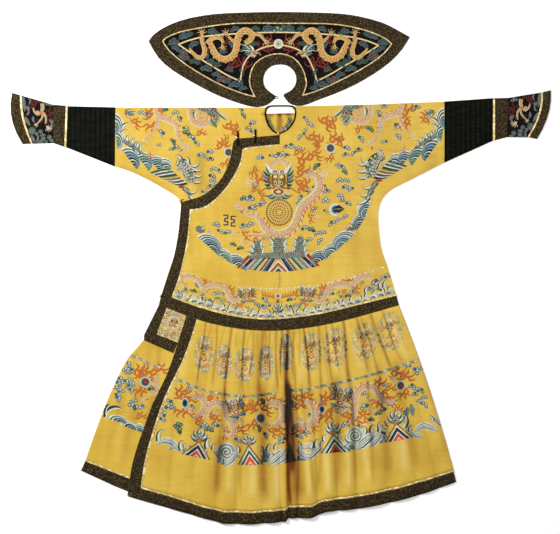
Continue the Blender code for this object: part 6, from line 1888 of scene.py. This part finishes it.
def apron_dragons(work):
    """A chain of clouds, and under it dragons after pearls, left of the deep pleat and right of it."""
    chain(work, [(177, 379), (189, 384.4), (204.7, 390), (221, 393.6), (238.4, 396), (256, 395.4),
                 (273.5, 393)])
    chain(work, [(288, 390), (303, 389.6), (319, 386.4), (336, 383), (354, 379), (372, 374.4), (389, 369.4),
                 (416, 360.6)])
    body(work, [(193, 417), (200, 413), (204.6, 406), (203.6, 399.4), (197.6, 395.6), (192, 398)], 6.0,
         taper=(0.5, 0.9, 1, 1, 0.7), side=1)
    body(work, [(206, 418), (207.6, 409), (213, 403.6), (220, 403), (225, 407), (226.6, 415), (230.6, 422),
                (234, 430), (229.6, 435.4), (223.6, 433)], 6.4, taper=(0.7, 1, 1, 1, 0.9, 0.8, 0.4),
         side=-1)
    front_head(work, 235, 406.6, 19, 1.0, ("peach", "straw", "scarlet"), turn=-14)
    body(work, [(268, 404), (275, 403), (281.6, 407), (283.6, 415), (279.6, 422), (273, 425)], 7.4,
         taper=(0.5, 0.9, 1, 1, 0.9, 0.6), side=-1)
    body(work, [(292, 430), (297, 425), (305, 425), (313, 421), (314.6, 412), (311, 404), (304, 401)], 7.6,
         taper=(0.4, 0.8, 0.9, 1, 1, 0.8, 0.5))
    body(work, [(350, 424), (354.6, 415), (355, 404), (357, 393), (363, 387), (370.6, 386.6), (376.6, 392),
                (381.6, 399.4), (389, 402), (395, 400)], 6.6, taper=(0.4, 0.8, 1, 1, 1, 0.9, 0.8, 0.4),
         side=-1)
    front_head(work, 341.4, 396.4, 21, 1.0, ("peach", "straw", "scarlet"), turn=12)
    body(work, [(347, 402), (344, 409), (338, 412), (333, 409)], 5.0, taper=(1, 0.9, 0.7, 0.4))
    for u, v, size, heart, squeeze in ((185, 403, 5.3, "navy", 0.66), (260.4, 418, 5.2, "red", 0.95),
                                       (322, 409, 4.4, "navy", 0.7), (400.6, 385.4, 4.9, "red", 0.9)):
        pearl(work, u, v, size, heart, squeeze)
    scatter(
        work, flame,
        (182, 392, 2.4, 0), (185.6, 396.6, 1.8, 30), (183, 410.6, 2.2, 180), (190.6, 400, 1.7, 20),
        (210.6, 401, 2.2, 12), (211, 398, 1.4, 60), (196, 417.6, 2.0, 80), (214.6, 419, 2.0, 110),
        (208.6, 416, 1.6, 40), (248, 408, 2.4, 20), (254.6, 405.6, 2.3, -20), (252.6, 424, 1.9, 170),
        (266.6, 409.6, 1.9, 70), (274, 401.6, 2.2, 70), (282, 403, 1.6, 60), (279.6, 430, 2.1, 80),
        (273, 431.6, 1.7, 80), (240.6, 430, 1.8, 40), (226, 433.6, 1.6, 120), (200, 420.6, 1.4, 90),
        (301, 399.6, 2.3, 70), (308, 396.4, 1.9, 70), (299.6, 405, 1.8, 0), (326, 398, 2.3, 0),
        (325.6, 415, 2.5, 180), (323, 404, 1.5, 160), (305, 427.6, 2.0, 90), (297, 430.6, 2.0, 20),
        (314, 426, 1.6, 100), (334.6, 409, 1.5, 20), (347, 416, 2.0, 70), (356.6, 419.6, 2.2, 60),
        (364, 415, 1.9, 80), (351, 420.6, 1.7, 150), (379.6, 383.6, 2.1, 10), (383.6, 397.6, 2.3, 140),
        (377.6, 402, 1.9, 200), (392, 400.6, 1.7, 90), (397, 373, 2.3, 20), (405.6, 376.6, 2.2, 30),
        (404, 393, 1.9, 170), (389.6, 388, 1.6, 20), (332.6, 388, 1.5, -20), (398, 409, 1.4, 30),
    )
    for row in ((191, 409, 1.5, 180), (216.6, 412, 1.4, 60), (240, 421, 1.4, 30), (225, 427, 1.3, 150),
                (268, 424, 1.4, 170), (300, 418, 1.4, 190), (318.6, 401, 1.3, -20), (349, 408, 1.4, 130),
                (366.6, 398, 1.5, 80), (392.6, 379, 1.5, -40), (372, 409, 1.3, 100)):
        claw(work, *row, leg=0.8)
    scatter(
        work, cloud,
        (171, 402, 1.5, 60, 0), (168.6, 407, 1.5, 0, 0), (163.6, 413, 1.4, 60, 1),
        (162.6, 419, 1.3, 20, 0), (173, 407.6, 1.2, 0, 1), (192, 406, 1.2, 30, 1),
        (178.6, 424, 1.6, 0, 3), (179, 429.6, 1.6, 60, 3), (205, 424.6, 1.4, 0, 1),
        (210, 428.6, 1.6, 20, 3), (215.6, 425, 1.4, 0, 1), (201.6, 426.6, 1.1, 0, 0),
        (237, 418.6, 1.4, 0, 1), (238, 439.6, 1.4, 30, 0), (263, 401, 1.3, 60, 3),
        (260, 428.6, 1.3, 90, 3), (266, 435, 1.3, 70, 0), (282.6, 437.6, 1.4, 0, 1),
        (281.6, 441.6, 1.1, 0, 0), (190, 388.6, 1.1, 20, 1), (243, 413.6, 1.1, 0, 1),
        (306, 431.6, 1.4, 0, 0), (300, 435.6, 1.4, 30, 1), (294, 404, 1.4, 80, 1),
        (365, 392.6, 1.3, 0, 0, 2), (364.4, 405.4, 1.6, -20, 1), (382.6, 409, 1.5, -20, 1),
        (390, 403.6, 1.2, 0, 0), (378, 412.6, 1.2, 0, 3), (349.6, 390, 1.6, 30, 0),
        (341, 404.6, 1.3, 0, 1), (345, 424, 1.5, -20, 1), (358.6, 426, 1.1, 0, 0), (416, 371, 1.5, 60, 0),
        (419, 368.6, 1.2, 0, 1), (412, 386, 1.3, 0, 0), (416.6, 389, 1.3, 40, 1), (414.6, 394, 1.2, 0, 0),
        (421.6, 390, 1.3, 50, 0), (424, 396.6, 1.3, 0, 1), (420, 401.6, 1.3, 30, 0),
        (425.6, 404.6, 1.3, 60, 0), (385, 384.6, 1.1, 0, 1), (408.6, 365.6, 1.0, 0, 1),
        (371, 419, 1.2, 0, 3), (309.6, 414.6, 1.0, 0, 1),
    )


# The colours of the apron's peaks, from their outsides in
GOLD_PEAK = ["brown", "gold", "white", "navy", "navy", "slate", "white", "scarlet", "scarlet", "scarlet",
             "white", "slate"]
GREEN_PEAK = ["brown", "pale_green", "white", "green", "green", "white", "scarlet", "scarlet", "scarlet",
              "white", "navy"]
MIXED_PEAK = ["brown", "pale_green", "white", "green", "navy", "white", "brown", "scarlet", "red",
              "dark_red", "navy"]


def apron_water(water):
    """The sea along the foot, its peaks and rocks."""
    scatter(
        water, mountain,
        ((181.4, 453.6), (199.4, 440.6), (210.4, 459.6), GOLD_PEAK, 1.3),
        ((237.6, 464.4), (248.4, 444), (263.6, 464), GREEN_PEAK, 1.3),
        ((284.6, 463), (289, 441), (296.4, 460.4), GOLD_PEAK, 1.3),
        ((320.6, 453), (333, 433), (350.6, 451), MIXED_PEAK, 1.3),
        ((384.4, 442.4), (395.6, 422.4), (413, 437), GOLD_PEAK, 1.3),
    )
    scatter(
        water, crag,
        (199.4, 440.4, 10.5, 15, -2, 1, 3, 1.3), (248.6, 443.4, 8.5, 13, 2, 1, 3, 1.3),
        (333, 432.6, 10.6, 14, 0, 1, 3, 1.3), (395, 422.4, 11, 15, 3, 1, 3, 1.3),
    )
    blue, sea = ("slate", "pale_blue", "blue"), ("teal", "pale_green", "slate")
    pale = ("pale_blue", "slate", "lilac")
    scatter(
        water, fan,
        (267.6, 461.6, 13, 11.4, -6, 1, sea), (306, 459.6, 15, 8, -10, 1, pale),
        (352, 449.4, 9, 7, -8, 1, blue), (222, 463.6, 12, 6.0, 16, 1, pale),
        (301, 460, 9, 7, -8, 1, blue), (382.4, 442.4, 9, 8, -14, 1, pale),
    )
    for path, width, hues in (
            ([(157, 443.6), (164, 440.6), (172, 442), (179.4, 449.6)], 7.4, ("blue", "pale_green")),
            ([(168.6, 449.4), (174.6, 446.4), (181.6, 452.4)], 5.4, ("pale_green", "blue")),
            ([(213, 451), (217, 453), (221, 458), (224.6, 464)], 6.4, ("slate", "navy")),
            ([(225, 465), (231.4, 458.6), (238, 451)], 9.6, ("pale_green", "blue")),
            ([(268.6, 463.6), (276.6, 456.4), (286, 448.6)], 10.6, ("pale_green", "sea")),
            ([(276, 464), (283.6, 457.6), (289.6, 452)], 6.4, ("sea", "pale_blue")),
            ([(297, 449), (301.6, 453), (308.6, 457.6)], 7.0, ("slate", "blue")),
            ([(301, 448), (309, 446), (316, 449)], 6.6, ("pale_green", "sea")),
            ([(309, 457), (315, 451.4), (321, 446)], 8.4, ("slate", "pale_green")),
            ([(340, 449.6), (345, 444), (350.4, 440.6)], 6.4, ("pale_blue", "slate")),
            ([(357, 449), (365, 441), (374.4, 431.6)], 10.4, ("sea", "blue")),
            ([(369.6, 446), (376, 438.6), (383, 430.6)], 9.4, ("pale_green", "sea")),
            ([(409.6, 432), (415, 434.6), (422.6, 437)], 6.0, ("pale_blue", "sea")),
            ([(414.6, 430.6), (422, 426), (430, 427), (437, 431)], 7.6, ("pale_green", "slate")),
            ([(430, 417.6), (438, 421), (444, 428.6)], 5.4, ("sea", "pale_green"))):
        leaf(water, path, width, hues, 0.6)
    for u, v, r in ((226.8, 451.6, 9.2), (355, 435.6, 8.6)):
        disc(water, 0.55, u, v, (r * 0.3, r * 0.6, r * 0.92, r),
             "lilac", "pale_green", "pale_blue", "white")
        curl(Pen(water, level=0.8), u, v, r * 0.84, 2.2, "white", "pale_green", r * 0.22)
        curl(Pen(water, level=0.9), u, v, r * 0.66, 1.8, "sea", "slate", r * 0.08, start=0.4)
    for row in ((158.6, 440.6, 165.4, 430.4, 4.0, 1), (181.6, 449.6, 184.6, 440.6, 4.4, 1),
                (185.6, 451, 187.4, 443, 3.0, 1), (207.6, 448, 211.6, 438.6, 5.0, 1),
                (213, 449.4, 216.6, 444, 3.0, 1), (238, 452, 235.6, 445.6, 3.4, -1),
                (262, 452.6, 259.6, 446, 3.4, -1), (268, 450.6, 272.6, 444.4, 4.0, 1),
                (275.4, 448.6, 279.6, 443.4, 3.6, 1), (299.6, 447, 297, 441.6, 3.0, -1),
                (311, 447, 309.6, 440.4, 3.6, -1), (316.4, 447, 319.6, 439.6, 4.2, 1),
                (321.4, 445.6, 323.6, 441, 3.0, 1), (344, 444.4, 342.4, 431, 4.6, 1),
                (349.6, 441, 347, 434.6, 3.4, 1), (364.6, 433, 362, 426.4, 3.6, -1),
                (371.4, 432, 375.6, 425.4, 5.0, 1), (379.6, 431.6, 383.6, 425.6, 4.2, 1),
                (386.4, 431.6, 380.4, 420.6, 5.4, 1), (388.6, 425, 386, 419.6, 3.0, 1),
                (404, 426.6, 401.6, 414.4, 4.6, -1), (409.6, 431.6, 413.6, 425.6, 3.4, 1),
                (432.6, 421, 428.6, 416.4, 3.0, -1), (324.6, 441, 326.6, 434, 3.4, 1),
                (300, 451, 303.6, 445.4, 2.6, 1), (221.4, 463.6, 219, 456, 2.8, -1)):
        horn(water, *row, 0.9)
    for u, v, r in ((184.6, 449, 1.6), (190, 446, 1.3), (206, 451.6, 1.4), (238.6, 456, 1.5),
                    (262.6, 455.6, 1.4), (322, 449.6, 1.5), (343.6, 447.6, 1.4), (385, 436, 1.7),
                    (389.6, 432.6, 1.3), (404.6, 430, 1.6), (273, 453.6, 1.2), (312, 449, 1.4),
                    (350.6, 444, 1.4)):
        disc(water, 1.4, u, v, (0.3 * r, 0.62 * r, r), "teal", "white", "slate")
    for u, v, tilt in ((405.6, 412.6, 20), (411.6, 409.6, -12)):
        pen = Pen(water, u, v, 1, tilt, level=0.4)
        pen.ribbon([(0, -6), (0.2, 0), (0, 6)], 5.6, shaded("sea", "pale_blue", "slate", "pale_green"),
                   (0.3, 1, 0.3))


def make_apron_work():
    """The embroidery of the front apron."""
    names = ("stitch_roundels", "stitch_apron", "stitch_apron_water")
    rounds, work, water = (Work(name, "cloth_skirt_front") for name in names)
    apron_roundels(rounds)
    apron_dragons(work)
    apron_water(water)
    return rounds, work, water


def make_under():
    """What shows of the back apron beside the front one."""
    work = Work("stitch_under", "cloth_skirt_back")
    chain(work, [(129.6, 355.6), (138, 357.6), (147, 362.6), (159, 367)], 1.7, 3.9)
    body(work, [(158, 376), (155, 384), (158.6, 391), (152.6, 394), (147, 395)], 4.6,
         taper=(0.8, 1, 0.8, 0.5))
    pearl(work, 145.4, 382, 5.3)
    scatter(
        work, flame,
        (139.6, 371, 2.3, -12), (147, 372.6, 2.3, 12), (144, 376.6, 1.7, 50), (140.6, 390, 2.2, 175),
        (161, 369, 2.0, 40), (141, 416, 1.7, 20), (152, 380, 1.6, 60),
    )
    scatter(
        work, cloud,
        (129, 364, 1.4, 60, 0), (126.6, 368.6, 1.4, 0, 1), (130.6, 370, 1.3, 40, 0),
        (128, 372.6, 1.2, 0, 2), (120.6, 379, 1.4, 30, 0), (125, 382, 1.3, 0, 1),
        (119.6, 383.6, 1.3, 60, 0), (129.6, 380.6, 1.4, 0, 1), (132.6, 384, 1.3, 40, 0),
        (128.6, 386.6, 1.3, 0, 0), (131, 391, 1.2, 60, 1), (117.6, 388, 1.4, 40, 0),
        (121, 391, 1.3, 0, 1), (119, 395, 1.3, 40, 0), (118, 399, 1.3, 60, 0), (134, 400, 1.4, 0, 1),
        (133, 405, 1.5, 30, 0), (138, 407, 1.5, 0, 1), (142.6, 406.6, 1.1, 0, 0), (152, 387.6, 1.4, 0, 3),
    )
    claw(work, 143.6, 399.6, 1.4, 150)
    for path, width in (([(104.6, 417), (106.6, 411), (111, 407.6), (117, 406.6), (121.6, 408.6)], 3.4),
                        ([(104.6, 413), (106, 406.6), (109.6, 403.6)], 2.6)):
        Pen(work, level=0.3).ribbon(path, width, rimmed("green", "navy", 0.4), (0.9, 1, 0.8, 0.1))
        Pen(work, level=0.5).ribbon(np.array(path) + (1.2, 1.6), width * 0.5, plain("white"),
                                    (0.7, 1, 0.8, 0.1))
    scatter(
        work, fan,
        (118, 421.6, 21, 6.6, 16, 1, ("pale_blue", "teal")),
        (128.6, 427.6, 18, 6.6, 22, 1, ("blue", "pale_blue")),
        (138, 431, 12, 8, 20, 1, ("pale_green", "blue")), (145, 431, 10, 6, 20, 1, ("lilac", "blue")),
    )
    return work, make_neck()


NECK_MIDDLE = 279.4


def make_neck():
    """The back's embroidery that shows inside the neck."""
    neck = Work("stitch_neck", "cloth_body_left_half", "cloth_body_right_half")
    for side in (-1, 1):
        for k in range(4):
            cloud(neck, NECK_MIDDLE + side * (11.4 - 1.2 * k), 119.6 + 2.6 * k, 0.9, side * 50, 3)
        path = [(NECK_MIDDLE + side * reach, v) for reach, v in ((12, 112), (10.4, 119), (6, 128))]
        Pen(neck, level=0.3).ribbon(path, 1.0, plain("orange"), (0.3, 1, 0.3))
    crag(neck, 283, 131, 5.0, 5.0, 10, 1, 2)
    crag(neck, 273.4, 131, 4.6, 4.0, -10, 1, 1)
    return neck


WORKS = [make_apron_work, make_bodice, make_collar, make_cuffs, make_under, make_waist]
tree, owners = grounds()
for maker in WORKS:
    for work in maker():
        sewn(work, tree, owners)

# What each piece of cloth was cut to, in metres, its area where it isn't a rectangle, what it rests on
# and what lies on it
Sheet = namedtuple("Sheet", "piece width length area rests_on on_it")


# The stage: a pale floor, soft lights and the camera straight above
FLOOR_REACH, FLOOR_Z = 6, -0.0004
FLOOR_GLOW, SKY_GLOW = 0.13, 0.36
# Each light's place, size and power
LIGHTS = (("key", (-2.3, 1.2, 2.5), 1.0, 104), ("fill", (1.6, 0.6, 3.4), 1.4, 44))
CAMERA_HEIGHT = 5.0
SENSOR = 36.0  # the camera's sensor, in mm


def make_floor():
    """A pale floor, which glows a little, so that it stays white."""
    reach = FLOOR_REACH
    corners = [(-reach, -reach, 0), (reach, -reach, 0), (reach, reach, 0), (-reach, reach, 0)]
    floor = put_mesh("floor", corners, [(0, 1, 2, 3)])
    floor.location.z = FLOOR_Z
    made = Shader("floor_paper", rough=0.9, specular=0.1)
    made.colour(made.ramp(made.noise(3, 2), (0.3, srgb("FBFBFA")), (0.7, srgb("FFFFFF"))))
    made.main.inputs["Emission Color"].default_value = ON
    made.main.inputs["Emission Strength"].default_value = FLOOR_GLOW
    floor.data.materials.append(made.material)


def make_lights():
    """A bright sky and two large lamps."""
    scene = bpy.context.scene
    scene.view_settings.view_transform = "Standard"
    scene.world = bpy.data.worlds.new("studio")
    scene.world.use_nodes = True
    sky = scene.world.node_tree.nodes["Background"]
    sky.inputs["Color"].default_value = ON
    sky.inputs["Strength"].default_value = SKY_GLOW
    for name, place, size, power in LIGHTS:
        light = add_object(name, bpy.data.lights.new(name, "AREA"))
        light.data.size = size
        light.data.energy = power
        light.location = place
        light.rotation_euler = (-Vector(place)).to_track_quat("-Z", "Y").to_euler()


def make_camera():
    """The camera straight above the middle of the photo, which it sees at its full width."""
    camera = add_object("camera", bpy.data.cameras.new("camera"))
    camera.data.sensor_width = SENSOR
    camera.data.lens = SENSOR * CAMERA_HEIGHT / (PHOTO_WIDTH * UNIT)
    camera.location = (*at(*PHOTO_MIDDLE), CAMERA_HEIGHT)
    bpy.context.scene.camera = camera


make_floor()
make_lights()
make_camera()
